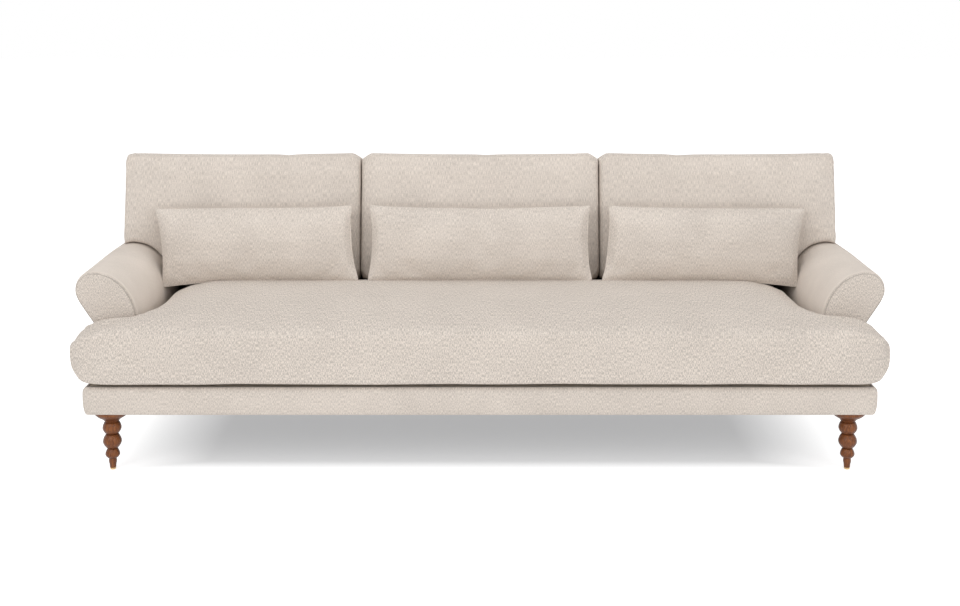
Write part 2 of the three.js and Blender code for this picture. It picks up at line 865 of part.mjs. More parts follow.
// A raked post on the rear rail, notched for the tack rail
function backPost(name, centre) {
  const foot = endRailTop + clearance;
  const outline = rakedOutline(postRear, postFront, foot, topRailFoot - clearance);
  const post = prism('x', outline, centre - postWidth / 2, centre + postWidth / 2);
  const notch = prism(
    'x',
    rakedOutline(
      tackRailRear - clearance,
      postFront + overrun,
      tackRailFoot - clearance,
      tackRailTop + clearance,
    ),
    centre - postWidth / 2 - overrun,
    centre + postWidth / 2 + overrun,
  );
  return piece(name, cut(post, [notch]), hardwood);
}

// Upright straps from the tack rail to the top rail, stitched over straps between the end posts
function backWebbing() {
  const straps = [];
  const crossRear = postFront + clearance;
  for (const share of backCrossStrapShares) {
    const centre = THREE.MathUtils.lerp(tackRailTop, topRailFoot, share);
    const outline = rakedOutline(
      crossRear,
      crossStrapFront,
      centre - strapWidth / 2,
      centre + strapWidth / 2,
    );
    straps.push(prism('x', outline, strapEndGap - railOuterX, railOuterX - strapEndGap));
  }
  const uprightRear = crossStrapFront - strapStitch;
  const upright = rakedOutline(
    uprightRear,
    uprightRear + strapThickness,
    tackRailFoot + strapEndGap,
    topRailTop - strapEndGap,
  );
  const reach = seatStrapPitches / 2 - 1;
  for (let k = -reach; k <= reach; k += 2) {
    straps.push(prism('x', upright, k * strapPitch - strapWidth / 2, k * strapPitch + strapWidth / 2));
  }
  return piece('back_webbing', joined(straps), jute);
}

function insideBackPad() {
  const top = backTop - coverPadding - clearance;
  const outline = rakedOutline(padRear, backDepth, baseTop + clearance, top);
  return piece('inside_back_pad', prism('x', outline, -railOuterX, railOuterX), linen);
}

// The cover over the back's rear, top and ends, open to the front and below
function outsideBackCover() {
  const foot = baseTop + clearance;
  const radii = new THREE.Vector2(backEdgeRadius, backEdgeRadius);
  const roundZ = backTop - backEdgeRadius;
  const rearCentre = new THREE.Vector2(rakedY(0, roundZ) - backEdgeRadius, roundZ);
  const frontCentre = new THREE.Vector2(rakedY(backDepth, roundZ) + backEdgeRadius, roundZ);
  const outline = [
    new THREE.Vector2(rakedY(backDepth, foot), foot),
    new THREE.Vector2(rakedY(0, foot), foot),
    ...arc(rearCentre, radii, 0, Math.PI / 2, roundSteps),
    ...arc(frontCentre, radii, Math.PI / 2, Math.PI, roundSteps),
  ];
  const round = backEdgeRadius * backEndRoundShare;
  const bevel = {
    bevelEnabled: true,
    bevelThickness: round,
    bevelSize: round,
    bevelOffset: -round,
    bevelSegments: roundSteps,
  };
  const end = baseHalfWidth - round;
  const outside = prism('x', outline, -end, end, { bevel });
  const hollow = prism(
    'x',
    rakedOutline(coverPadding, backDepth + overrun, baseTop - overrun, backTop - coverPadding),
    coverPadding - baseHalfWidth,
    baseHalfWidth - coverPadding,
  );
  return piece('outside_back_cover', cut(outside, [hollow]), linen);
}

// Cushions

// How far an edge has risen to full thickness: 0 at the border, 1 beyond the reach of its fall
function risen(distance, reach) {
  const share = THREE.MathUtils.clamp(distance / reach, 0, 1);
  return 1 - (1 - share) ** 2;
}

// How far a rounded corner draws back the border at a place along it
function cornerDrop(place, edge, radius) {
  const past = THREE.MathUtils.clamp(place - (edge - radius), 0, radius);
  return radius - Math.sqrt(radius * radius - past * past);
}

// Grid places round the covered cells, counter-clockwise
function borderLoop(columnCount, rowCount, covers) {
  const covered = (i, j) => i >= 0 && j >= 0 && i < columnCount - 1 && j < rowCount - 1 && covers(i, j);
  const next = new Map();
  for (let i = 0; i < columnCount - 1; i += 1) {
    for (let j = 0; j < rowCount - 1; j += 1) {
      if (!covered(i, j)) continue;
      if (!covered(i, j - 1)) next.set(`${i},${j}`, [i + 1, j]);
      if (!covered(i + 1, j)) next.set(`${i + 1},${j}`, [i + 1, j + 1]);
      if (!covered(i, j + 1)) next.set(`${i + 1},${j + 1}`, [i, j + 1]);
      if (!covered(i - 1, j)) next.set(`${i},${j + 1}`, [i, j]);
    }
  }
  const loop = [[...next.keys()][0].split(',').map(Number)];
  for (;;) {
    const following = next.get(loop.at(-1).join());
    if (following.join() === loop[0].join()) return loop;
    loop.push(following);
  }
}

// A stuffed form on a grid: two crowned faces, and boxing that bulges between their borders.
// spot gives the place of a grid corner at a level; face and under give the two faces' levels.
function stuffed({ columnCount, rowCount, covers = () => true, spot, face, under, bulge, sideShares }) {
  const points = [];
  const triangles = [];
  const add = (point) => points.push(point) - 1;
  const faceIds = new Map();
  const underIds = new Map();
  const idsAt = (i, j) => {
    const key = `${i},${j}`;
    if (!faceIds.has(key)) {
      faceIds.set(key, add(spot(i, j, face(i, j))));
      underIds.set(key, add(spot(i, j, under(i, j))));
    }
    return [faceIds.get(key), underIds.get(key)];
  };
  for (let i = 0; i < columnCount - 1; i += 1) {
    for (let j = 0; j < rowCount - 1; j += 1) {
      if (!covers(i, j)) continue;
      const [a, b, c, d] = [[i, j], [i + 1, j], [i + 1, j + 1], [i, j + 1]].map((at) => idsAt(...at));
      triangles.push(a[0], b[0], c[0], a[0], c[0], d[0]);
      triangles.push(c[1], b[1], a[1], d[1], c[1], a[1]);
    }
  }
  const loop = borderLoop(columnCount, rowCount, covers);
  const rings = [loop.map(([i, j]) => faceIds.get(`${i},${j}`))];
  for (const [downShare, outShare] of sideShares) {
    const level = loop.map(([i, j]) => spot(i, j, THREE.MathUtils.lerp(face(i, j), under(i, j), downShare)));
    const flat = level.map((point) => new THREE.Vector2(point.x, point.y));
    const turning = THREE.ShapeUtils.area(flat) < 0 ? -1 : 1;
    const pushed = shifted(flat, turning * bulge * outShare, true);
    rings.push(level.map((point, k) => add(new THREE.Vector3(pushed[k].x, pushed[k].y, point.z))));
  }
  rings.push(loop.map(([i, j]) => underIds.get(`${i},${j}`)));
  rings.slice(1).forEach((ring, r) => stitch(triangles, rings[r], ring));
  return closedGeometry(points, triangles);
}

const seatMainX = halfSeat - clearance - seatBulge;
const seatEarX = halfSeat + seatEarWidth - seatBulge;
const seatEarDepth = armSetBack - seatEarGap - seatBulge;
const seatRearDepth = rakedY(backDepth, baseTop) - frontY - seatRearGap - seatBulge;

// Height of the seat cushion's top: it rises from the front to a crest, falls to the rear along
// the back's slope, and rolls off to the arms and to the ends of its ears
function seatTopAt(x, y) {
  const distance = Math.abs(x);
  const depth = y - frontY;
  const behind = Math.max(0, depth - seatCrestDepth) * Math.tan(rake);
  const borderFall = behind * seatBorderFallShare;
  const toCrest = THREE.MathUtils.clamp(depth / seatCrestDepth, 0, 1);
  const rise = seatCrown * (1 - (1 - toCrest) ** seatFrontPower) - (behind - borderFall);
  const [nearShare, farShare] = earBlendShares;
  const past = THREE.MathUtils.smoothstep(depth, armSetBack * nearShare, armSetBack * farShare);
  const reach = THREE.MathUtils.lerp(seatEarX, halfSeat, past);
  const crown = rise * risen(reach - distance, seatEdgeFall);
  const shoulder = earShoulderDrop * (1 - risen(seatEarX - distance, earShoulderReach));
  return baseTop + seatBorderHeight - borderFall + crown - shoulder;
}

function seatCushion() {
  const halfColumns = [
    ...seatColumnShares.map((share) => seatMainX * share),
    ...earColumnShares.map((share) => THREE.MathUtils.lerp(seatMainX, seatEarX, share)),
  ];
  const columns = [...halfColumns.slice(1).reverse().map((x) => -x), ...halfColumns];
  const rows = [
    ...earRowShares.map((share) => THREE.MathUtils.lerp(seatBulge, seatEarDepth, share)),
    ...seatRowShares.map((share) => THREE.MathUtils.lerp(seatEarDepth, seatCrestDepth, share)),
    ...seatRearRowShares.map((share) => THREE.MathUtils.lerp(seatCrestDepth, seatRearDepth, share)),
  ];
  const earRows = earRowShares.length - 1;
  const covers = (i, j) => {
    const outermost = Math.max(Math.abs(columns[i]), Math.abs(columns[i + 1]));
    return j < earRows || outermost <= seatMainX;
  };
  const plan = (i, j) => {
    const x = columns[i];
    const distance = Math.abs(x);
    const drawn = seatDrawIn * Math.max(0, 1 - (distance / seatMainX) ** 2);
    const front = seatBulge + drawn + cornerDrop(distance, seatEarX, earFrontRadius);
    const earRear = seatEarDepth - cornerDrop(distance, seatEarX, earRearRadius);
    const rear = seatRearDepth - cornerDrop(distance, seatMainX, seatRearRadius);
    const depth = j <= earRows
      ? THREE.MathUtils.mapLinear(rows[j], seatBulge, seatEarDepth, front, earRear)
      : THREE.MathUtils.mapLinear(rows[j], seatEarDepth, seatRearDepth, seatEarDepth, rear);
    return new THREE.Vector2(x, frontY + depth);
  };
  const geometry = stuffed({
    columnCount: columns.length,
    rowCount: rows.length,
    covers,
    spot: (i, j, level) => new THREE.Vector3(plan(i, j).x, plan(i, j).y, level),
    face: (i, j) => seatTopAt(plan(i, j).x, plan(i, j).y),
    under: (i, j) => {
      const lift = earFootLift * (1 - risen(seatEarX - Math.abs(columns[i]), earFootReach));
      return baseTop + clearance + lift;
    },
    bulge: seatBulge,
    sideShares: boxingShares,
  });
  return piece('seat_cushion', geometry, linen);
}

// Frame of the leaning cushions: x along the sofa, y up the raked back and z towards the front.
// Its origin lies where the inside back meets the seat cushion's rear slope.
const up = new THREE.Vector2(Math.sin(rake), Math.cos(rake));
const rearward = new THREE.Vector2(Math.cos(rake), -Math.sin(rake));
const seatCrest = new THREE.Vector2(frontY + seatCrestDepth, baseTop + seatBorderHeight + seatCrown);
const leaningOrigin = new THREE.Vector2()
  .addScaledVector(up, up.dot(seatCrest))
  .addScaledVector(rearward, rearward.dot(new THREE.Vector2(backTopY, backTop)) - backDepth);
const backFaceLevel = clearance + backRearCrown + backCushionBoxing + backFrontCrown;
const backCushionsHalfWidth = halfSeat + backCushionReach;
const thirdHalfWidth = backCushionsHalfWidth / 3;

function leaningGroup() {
  const group = new THREE.Group();
  group.position.set(0, leaningOrigin.x, leaningOrigin.y);
  group.rotation.x = Math.PI / 2 - rake;
  return group;
}

// A back cushion between two borders. Its foot is level, or steps up over the arm where bottomAt
// says so, and its place depends on the level, because the arm is level and the cushion leans.
function backCushion(name, side, columns, bottomAt) {
  const first = columns[0];
  const last = columns.at(-1);
  const middle = (first + last) / 2;
  const half = (last - first) / 2;
  const topAt = (x) => {
    const dip = backTopDip * (1 - ((x - middle) / half) ** 2);
    const drop = cornerDrop(Math.abs(x - middle), half, backCornerRadius);
    return backCushionHeight - backCushionBulge - dip - drop;
  };
  const riseAt = (i, j) => {
    const x = columns[i];
    const foot = bottomAt(x, backFaceLevel / 2);
    const height = topAt(x) - foot;
    const ends = risen(Math.min(x - first, last - x), backEdgeFall);
    const sides = risen(Math.min(backRowShares[j], 1 - backRowShares[j]) * height, backEdgeFall);
    return ends * sides;
  };
  const geometry = stuffed({
    columnCount: columns.length,
    rowCount: backRowShares.length,
    spot: (i, j, level) => {
      const y = THREE.MathUtils.lerp(bottomAt(columns[i], level), topAt(columns[i]), backRowShares[j]);
      return new THREE.Vector3(side * columns[i], y, level);
    },
    face: (i, j) => backFaceLevel - backFrontCrown * (1 - riseAt(i, j)),
    under: (i, j) => clearance + backRearCrown * (1 - riseAt(i, j)),
    bulge: backCushionBulge,
    sideShares: boxingShares,
  });
  return piece(name, geometry, linen);
}

function centreBackCushion() {
  const edge = thirdHalfWidth - clearance - backCushionBulge;
  const columns = backColumnShares.map((share) => THREE.MathUtils.lerp(-edge, edge, share));
  const foot = clearance + backCushionBulge;
  const bottomAt = (x) => foot + cornerDrop(Math.abs(x), edge, backCornerRadius);
  return backCushion('centre_back_cushion', 1, columns, bottomAt);
}

function outerBackCushion(side) {
  const inner = thirdHalfWidth + clearance + backCushionBulge;
  const outer = backCushionsHalfWidth - backCushionBulge;
  const grow = backCushionBulge + backCushionArmGap;
  const step = halfSeat - grow;
  const columns = [
    ...backInnerColumnShares.map((share) => THREE.MathUtils.lerp(inner, step, share)),
    ...overArmColumnShares.map((share) => THREE.MathUtils.lerp(step, outer, share)),
  ];
  const foot = clearance + backCushionBulge;
  const bottomAt = (x, level) => {
    const clearOfArm = (armTopAt(x, grow) - leaningOrigin.y - level * Math.sin(rake)) / Math.cos(rake);
    const rounded = foot + cornerDrop(inner + outer - x, outer, backCornerRadius);
    return x > step ? Math.max(rounded, clearOfArm) : rounded;
  };
  return backCushion(`${sideName(side)}_back_cushion`, side, columns, bottomAt);
}

// A knife-edged pillow between two ends. Its sides and top edge are drawn in, and its bottom edge
// lies straight on the seat. The outer pillows' top edge is shifted outwards.
function lumbarPillow(name, side, from, to, shear) {
  const half = (to - from) / 2;
  const place = (i, j) => {
    const a = lumbarColumnShares[i];
    const b = lumbarRowShares[j];
    const x = a * (half - lumbarSideDraw * (1 - b * b)) + (shear * (b + 1)) / 2;
    const y = (b * lumbarHeight) / 2 - (lumbarTopDraw * (1 - a * a) * (b + 1)) / 2;
    return new THREE.Vector2(side * x, y);
  };
  const fullness = (i, j) => {
    const a = lumbarColumnShares[i];
    const b = lumbarRowShares[j];
    return ((1 - a ** 4) * (1 - b * b)) ** lumbarFullness;
  };
  const geometry = stuffed({
    columnCount: lumbarColumnShares.length,
    rowCount: lumbarRowShares.length,
    spot: (i, j, level) => new THREE.Vector3(place(i, j).x, place(i, j).y, level),
    face: (i, j) => lumbarEdge / 2 + lumbarCrown * fullness(i, j),
    under: (i, j) => -lumbarEdge / 2 - lumbarCrown * fullness(i, j),
    bulge: lumbarEdgeRound,
    sideShares: weltShares,
  });
  geometry.rotateX(-THREE.MathUtils.degToRad(lumbarLeanDegrees));
  geometry.computeBoundingBox();
  const mesh = piece(name, geometry, linen);
  const forward = backFaceLevel + clearance - geometry.boundingBox.min.z;
  mesh.position.set((side * (from + to)) / 2, lumbarHeight / 2, forward);
  return mesh;
}

// Slides a leaning piece along the back until the lowest place on its edges rests on the seat
function settle(mesh, group) {
  const positions = mesh.geometry.attributes.position;
  const index = mesh.geometry.index;
  const corner = (k) => new THREE.Vector3().fromBufferAttribute(positions, index.getX(k));
  const places = [];
  for (let k = 0; k < index.count; k += 1) {
    const next = k % 3 === 2 ? k - 2 : k + 1;
    edgeSampleShares.forEach((share) => places.push(corner(k).lerp(corner(next), share)));
  }
  for (let pass = 0; pass < settlePasses; pass += 1) {
    group.updateMatrixWorld(true);
    const gaps = places.map((place) => {
      const point = place.clone().applyMatrix4(mesh.matrixWorld);
      return point.z - seatTopAt(point.x, point.y);
    });
    mesh.position.y += (clearance - Math.min(...gaps)) / Math.cos(rake);
  }
}

function lumbarPillows(group) {
  const innerEnd = lumbarWidth / 2 + lumbarGap;
  const cornerV = seatBorderHeight + seatCrown;
  const rise = THREE.MathUtils.clamp((cornerV - springV) / innerRise, 0, 1);
  const armInnerU = rollCentreU * (1 - Math.sqrt(1 - rise * rise));
  const outerEnd = halfSeat + armInnerU - lumbarArmGap;
  const outer = [innerEnd, outerEnd, lumbarShear];
  const pillows = [
    lumbarPillow('left_lumbar_pillow', -1, ...outer),
    lumbarPillow('centre_lumbar_pillow', 1, -lumbarWidth / 2, lumbarWidth / 2, 0),
    lumbarPillow('right_lumbar_pillow', 1, ...outer),
  ];
  group.add(...pillows);
  pillows.forEach((pillow) => settle(pillow, group));
}

// The whole sofa
const sofa = new THREE.Group();
sofa.add(...seatRails());
sofa.add(seatStretcher(-1), seatStretcher(1), seatWebbing(), seatDeck(), dustCover(), baseBand());
for (const place of legPlaces()) {
  sofa.add(cornerBlock(place), leg(place), ferrule(place), hangerBolt(place), teeNut(place));
}
sofa.add(...arm(-1), ...arm(1));
sofa.add(...backRails(), backWebbing(), insideBackPad(), outsideBackCover());
for (const side of [-1, 1]) {
  sofa.add(backPost(`${sideName(side)}_outer_back_post`, side * (railOuterX - postWidth / 2)));
  sofa.add(backPost(`${sideName(side)}_inner_back_post`, side * innerPostX));
}
sofa.add(seatCushion());
const leaning = leaningGroup();
leaning.add(outerBackCushion(-1), centreBackCushion(), outerBackCushion(1));
lumbarPillows(leaning);
sofa.add(leaning);

export default sofa;
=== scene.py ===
"""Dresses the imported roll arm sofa: stuffed cushions, linen upholstery, turned walnut legs and a studio."""

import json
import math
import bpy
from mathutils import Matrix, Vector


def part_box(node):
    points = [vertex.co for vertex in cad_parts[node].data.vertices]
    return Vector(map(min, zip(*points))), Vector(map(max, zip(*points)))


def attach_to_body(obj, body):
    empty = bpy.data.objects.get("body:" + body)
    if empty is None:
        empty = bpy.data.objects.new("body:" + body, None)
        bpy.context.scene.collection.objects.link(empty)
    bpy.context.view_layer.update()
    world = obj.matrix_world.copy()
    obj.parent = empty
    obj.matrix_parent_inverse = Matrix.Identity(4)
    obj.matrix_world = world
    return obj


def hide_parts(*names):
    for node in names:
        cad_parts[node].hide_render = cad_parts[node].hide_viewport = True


bl_info = {
    "name": "Roll Arm Sofa",
    "version": (1, 0, 0),
    "blender": (4, 5, 0),
    "location": "3D View > Sidebar > Sofa",
    "description": "Dresses the roll arm sofa's frame with cushions, upholstery and turned legs",
    "category": "Object",
}

import bmesh
import bpy
from bpy.props import FloatProperty, FloatVectorProperty, IntProperty, PointerProperty
from mathutils import Vector, noise
from mathutils.bvhtree import BVHTree
from mathutils.kdtree import KDTree

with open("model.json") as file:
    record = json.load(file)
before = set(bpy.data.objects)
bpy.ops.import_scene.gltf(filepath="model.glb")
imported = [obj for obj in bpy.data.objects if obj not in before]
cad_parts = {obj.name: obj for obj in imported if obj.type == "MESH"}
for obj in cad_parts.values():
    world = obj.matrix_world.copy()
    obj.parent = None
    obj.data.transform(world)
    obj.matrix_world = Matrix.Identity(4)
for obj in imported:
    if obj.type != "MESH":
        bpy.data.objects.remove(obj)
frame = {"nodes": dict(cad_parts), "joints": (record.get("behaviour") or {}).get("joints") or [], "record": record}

SIDES = ("left", "right")
PLACES = ("left", "centre", "right")
CORNERS = ("front_left", "front_right", "rear_left", "rear_right")
ACROSS = Vector((1, 0, 0))
FORWARD = Vector((0, -1, 0))
UP = Vector((0, 0, 1))

# Each linen: how strongly its yarns differ, how much paler it is, and how far its slubs run
LINENS = {
    "seat_linen": (2.9, 1.01, 0.55),
    "back_linen": (1.05, 1.04, 1.0),
    "pillow_linen": (1.2, 1.03, 0.6),
    "upholstery_linen": (1.3, 1.02, 0.5),
    # Painted light: the arms' linen is paler than the rest of the same cloth, as if more light fell on it
    "arm_linen": (0.16, 1.14, 1.0),
    "panel_linen": (2.2, 1.0, 0.4),
    # Painted shade: the welt's linen is darker, standing in for the shade in a seam's groove
    "seam_linen": (0.5, 0.74, 1.0),
    "zip_tape": (0.3, 0.85, 1.0),
}
# The cloths of the hidden sides: how strongly their yarns differ, the light yarn, the dark yarn, the painted shade
# between them, and the distance from yarn to yarn where it isn't the linen's
BLACK_CLOTH = (0.6, (0.024, 0.024, 0.026), (0.012, 0.012, 0.013), (0.006, 0.006, 0.006))
JUTE = (0.8, (0.42, 0.31, 0.17), (0.22, 0.15, 0.08), (0.12, 0.08, 0.04), 0.003)
PLATFORM_CLOTH = (0.4, (0.62, 0.54, 0.44), (0.5, 0.43, 0.35), (0.3, 0.25, 0.2), 0.0009)
# Shares in the woven cloth: level places' stretch, upright slubs, slubs among fibre, and yarns in the relief
LEVEL_RUN = 0.65
UPRIGHT_SHARE = 0.8
SLUB_SHARE = 0.7
YARN_SHARE = 0.55
# How much broad tones change a cloth's colour, and how much painted shade darkens the gaps between yarns
TONE_SHARE = 0.2
GAP_SHADE_SHARE = 0.2
# Roughness of the yarns' tops, and how much rougher the gaps between them are
CLOTH_ROUGH = 0.82
GAP_ROUGH = 0.1
# Bands of the grain: how closely they follow each other, and their share beside the streaks
BAND_TURNS = 46.0
BAND_SHARE = 0.1
# How much paler rubbed edges are, and how quickly the painted shade darkens coated wood where it turns away from
# the view
RUBBED_GAIN = 1.6
EDGE_SHADE_POWER = 1.2
EDGE_SHADE_GAIN = 10
# Scratches on wood and on metal: how fine they are, how much rougher they make it, and the relief's height
WOOD_SCRATCH = 220.0
WOOD_ROUGH = 0.14
WOOD_RELIEF = 0.0003
METAL_SCRATCH = 300.0
METAL_ROUGH = 0.2
METAL_RELIEF = 0.0001
# How much scratches dull metal, and how bright dull metal is
DULL_SHARE = 0.35
DULL_GAIN = 0.72

# Corners of a CAD mesh nearer than this are one corner
JOIN_DISTANCE = 1e-5
# Columns of a back cushion nearer than this are one column
NARROW = 0.0075
# Two triangles that bend less than the first angle make a quad, if its corners bend less than the second
FLAT_ANGLE = math.radians(29)
SQUARE_ANGLE = math.radians(52)
# Edges of the upholstery that bend more than this are rounded to a small radius
EDGE_ANGLE = math.radians(52)
EDGE_RADIUS = 0.0025
# Faces whose normal rises more than this are level
LEVEL = 0.97
# Passes that bring a smooth surface back through the corners it was made from
FIT_PASSES = 2
# Levels of a cushion's cover before it is blown up, and passes that even it out in the end
COVER_LEVELS = 2
SMOOTH_PASSES = 8
# What a ripple's noise is lowered by, so that ripples sink more than they rise
RIPPLE_SINK = 0.35
# Where a cushion's ripples start in the noise, beside the length of its name
RIPPLE_START = (0.5, 2.5)
# The cloth simulation: substeps, mass of a point, and how quickly the stitches' hold fades
CLOTH_QUALITY = 4
CLOTH_MASS = 0.3
HOLD_GAIN = 1.5
# A point deeper than this in a neighbour is left alone, because a knife edge hides which way is out
DEEPEST = 0.008
# Faces belong to a cushion's panel while the cosine of their turn away from it is above this
PANEL_LIMIT = 0.64
# Steps along a seam, for the stitches that hold the cloth and for the ridge that shows
PIN_SPACING = 0.01
SEAM_SPACING = 0.012
# Sides of a cord, and the share of its radius that lies sunk in the cloth
CORD_SIDES = 6
CORD_DEPTH = 0.3

# Zips: how flat the cushion is there, length of a tooth, free length at each end, and least teeth
ZIP_FLAT = 0.9
ZIP_TOOTH = 0.0035
ZIP_SIDE = 0.05
ZIP_LEAST = 20
# Half width of the zip's tape, share of it that is flat, and how far its edges sink and its middle rises
ZIP_TAPE = 0.011
TAPE_FLAT = 0.9
TAPE_SINK = 0.0004
TAPE_RISE = 0.0005
# Radius of the teeth and how much every second one swells, then the same for the slider as a multiple
ZIP_TEETH = 0.0011
TEETH_RIDGE = 0.35
SLIDER_SIZE = 2.2
SLIDER_RIDGE = 0.25
# The teeth that the slider covers and the one that holds its ring, counted from the zip's end
SLIDER_TEETH = slice(-8, -3)
RING_TOOTH = -4
# The slider's ring: half its length, half its width, and its points
RING_HALF = (0.009, 0.0035)
RING_POINTS = 14

# Staples stay this far from the middle of a leg and from the edge of the cloth
STAPLE_CLEAR = 0.075
STAPLE_INSET = 0.008
# Half width of a staple, depth of its legs in the rail, how far it stands proud, and radius of its wire
STAPLE_HALF = 0.005
STAPLE_DEPTH = 0.004
STAPLE_PROUD = 0.0002
STAPLE_WIRE = 0.0005
# The cloth under the frame: width of its waves, mean share of its sag, where the sag starts and is full,
# and its thickness as a share of the CAD node's
SHEET_WAVE = 0.12
SHEET_MEAN = 0.7
SHEET_FADE = (0.01, 0.2)
SHEET_THICKNESS = 0.8

# The seat cushion's top and foot: how far up each is felt, and how strongly the ears' ends take part
SEAT_TOP = 0.16
SEAT_FOOT = 0.1
EAR_TOP_POWER = 1.5
EAR_FOOT_POWER = 3
# Stretches of Y over which the seat changes: its front from its edge, the rest from the arms' front
SEAT_FRONT = (0.03, 0.11)
EAR_BACK = (-0.02, 0.05)
TUCK_START = (-0.025, 0)
TUCK_END = (0, 0.2)
# The stretch of X from the arms' inner side over which the tuck comes in
TUCK_ACROSS = (-0.13, -0.02)
# The hollow between back cushions: how sharply it closes, and how far behind it the pressed side fades
PRESS_POWER = 3
PRESS_REACH = 5
# An outer pillow's end, as a share of its length, and how its foot and its top drop and lean there
PILLOW_END = 0.6
FOOT_POWER = 1.3
FOOT_FADE = (0, 0.7)
TOP_DROP = 0.45
TOP_FADE = (0.6, 1)
LEAN_GAIN = 1.4
# An arm's roll: its widening's length from the front, its foot as a share of the arm's height, and its rise
ROLL_RUN = 0.45
ROLL_FOOT = 0.4
ROLL_RISE = 0.1

# Decimals of a turned corner's distance from the axis: corners that agree in them are as near to it
RADIUS_DIGITS = 4
# Turned pieces: sides, length of one step of the profile, sharp corners and their small chamfer
TURNED_SIDES = 64
TURNED_STEP = 0.0012
TURNED_ANGLE = math.radians(58)
TURNED_EDGE = 0.0005
# Places where the outline bends inwards by more than this are necks between beads
NECK_TURN = math.radians(20)
NECK_SHARE = 0.86
# How far beads go from a wave's shape to a ball's, their least steps, and how quickly the flange thins out
BEAD_FULLNESS = 0.75
BEAD_STEPS = 4
FLANGE_POWER = 1.3

# Half size of the floor, and the place that the lamps point at
FLOOR_HALF = 30
LAMP_TARGET = Vector((0, 0, 0.4))
# Each lamp's place and width
LAMPS = {
    "key": ((-2.6, -4.2, 3.2), 3.0),
    "fill": ((3.0, -4.4, 2.4), 3.0),
    "top": ((0, 0.2, 3.8), 3.5),
}
# How much paler the floor's clouds are
CLOUD_GAIN = 1.02
# Half length and half depth of the painted shadow on the floor, each from where it fades to where it ends
SHADE_LENGTH = (0.84, 1.14)
SHADE_DEPTH = (0.34, 0.42)


# Settings

def length(name, description, default):
    return FloatProperty(name=name, description=description, default=default, unit="LENGTH")


def colour(name, description, default):
    return FloatVectorProperty(
        name=name, description=description, default=default, subtype="COLOR", min=0, max=1
    )


class SofaCloth(bpy.types.PropertyGroup):
    """Sizes and colours of the woven cloth."""

    light: colour("Light yarn", "Colour of the pale yarns", (0.845, 0.762, 0.683))
    dark: colour("Dark yarn", "Colour of the darker yarns", (0.515, 0.459, 0.41))
    # Depth is painted shade: the colour that the gaps between yarns are darkened towards
    shade: colour("Depth", "Colour of the cloth deep between the yarns", (0.5, 0.44, 0.385))
    yarn: length("Yarn spacing", "Distance from yarn to yarn", 0.0012)
    fleck: length("Fleck size", "Width of a fleck of mixed fibre", 0.0024)
    slub_width: length("Slub width", "Width of a thick place in a yarn", 0.0016)
    slub_length: length("Slub length", "Length of a thick place in a yarn", 0.015)
    bump: length("Weave depth", "Height of the weave's relief", 0.0005)
    sheet_step: length("Sheet step", "Size of the squares that the cloth under the frame is made of", 0.04)
    sheet_sag: length("Sheet sag", "How far the cloth under the frame hangs down", 0.004)
    staple: length("Staple spacing", "Distance from staple to staple", 0.06)


class SofaCushions(bpy.types.PropertyGroup):
    """How the loose cushions are stuffed and sewn."""

    proud: length("Proud", "How far a cover may stand out of its solid", 0.0015)
    gap: length("Gap", "Least distance between a cover and what lies beside it", 0.0002)
    ripple: length("Ripple", "Height of the uneven stuffing's ripples", 0.0022)
    ripple_size: length("Ripple size", "Width of one ripple", 0.13)
    cap: length("Swell", "The most that stuffing may move the cover", 0.012)
    pin_reach: length("Seam reach", "How far beside a seam the stitches hold the cloth", 0.03)
    slack: FloatProperty(name="Slack", description="Spare cloth, as a share of its size", default=0.025)
    pressure: FloatProperty(name="Pressure", description="Push of the stuffing", default=2.0)
    frames: IntProperty(name="Steps", description="Steps of the cloth simulation", default=20)
    seam_radius: length("Seam radius", "Radius of a sewn seam's ridge", 0.0009)
    welt_radius: length("Welt radius", "Radius of the seam round the arms' front", 0.0013)
    corner: length("Corner", "Radius of the solid back cushions' corners", 0.033)
    sewn_corner: length("Sewn corner", "Radius of the sewn back cushions' outer corners", 0.014)
    inner_corner: length("Inner corner", "Radius of the corners where back cushions meet", 0.028)
    side: length("Side", "Depth of the hollow beside the back cushions' front edges", 0.013)
    pressed: length("Pressed side", "What is left of that hollow where two cushions press", 0.009)
    lift: length("Lift", "How far the seat's front edge clears the base band", 0.012)
    ear_top: length("Ear top", "How far the top of the seat's ears is filled out", 0.02)
    tuck: length("Tuck", "How far the seat's top is drawn down beside the arms' front", 0.008)
    ear_foot: length("Ear foot", "How far the bottom of the seat's ears is drawn up", 0.01)
    sag: length("Sag", "How far the outer pillows' end hangs over the seat's shoulder", 0.025)
    spread: length("Spread", "How far the outer pillows' top leans outwards", 0.013)
    hug: length("Hug", "Reach within which a back cushion settles onto the seat and the arms", 0.02)
    roll: length("Roll", "How far the arms' rolls widen towards the back", 0.016)


class SofaWood(bpy.types.PropertyGroup):
    """Colours and grain of the legs and the frame."""

    walnut: colour("Walnut", "Main colour of the legs", (0.36, 0.125, 0.034))
    # The dark walnut also paints the shade in the legs' hollows and where they turn away
    walnut_dark: colour("Dark walnut", "Colour of the legs' grain and hollows", (0.07, 0.017, 0.006))
    hardwood: colour("Hardwood", "Colour of the hidden frame", (0.56, 0.4, 0.22))
    hardwood_dark: colour("Hardwood grain", "Colour of the hidden frame's grain", (0.36, 0.23, 0.11))
    brass: colour("Brass", "Colour of the ferrules", (0.6, 0.43, 0.24))
    zinc: colour("Zinc", "Colour of the bolts and nuts", (0.62, 0.63, 0.65))


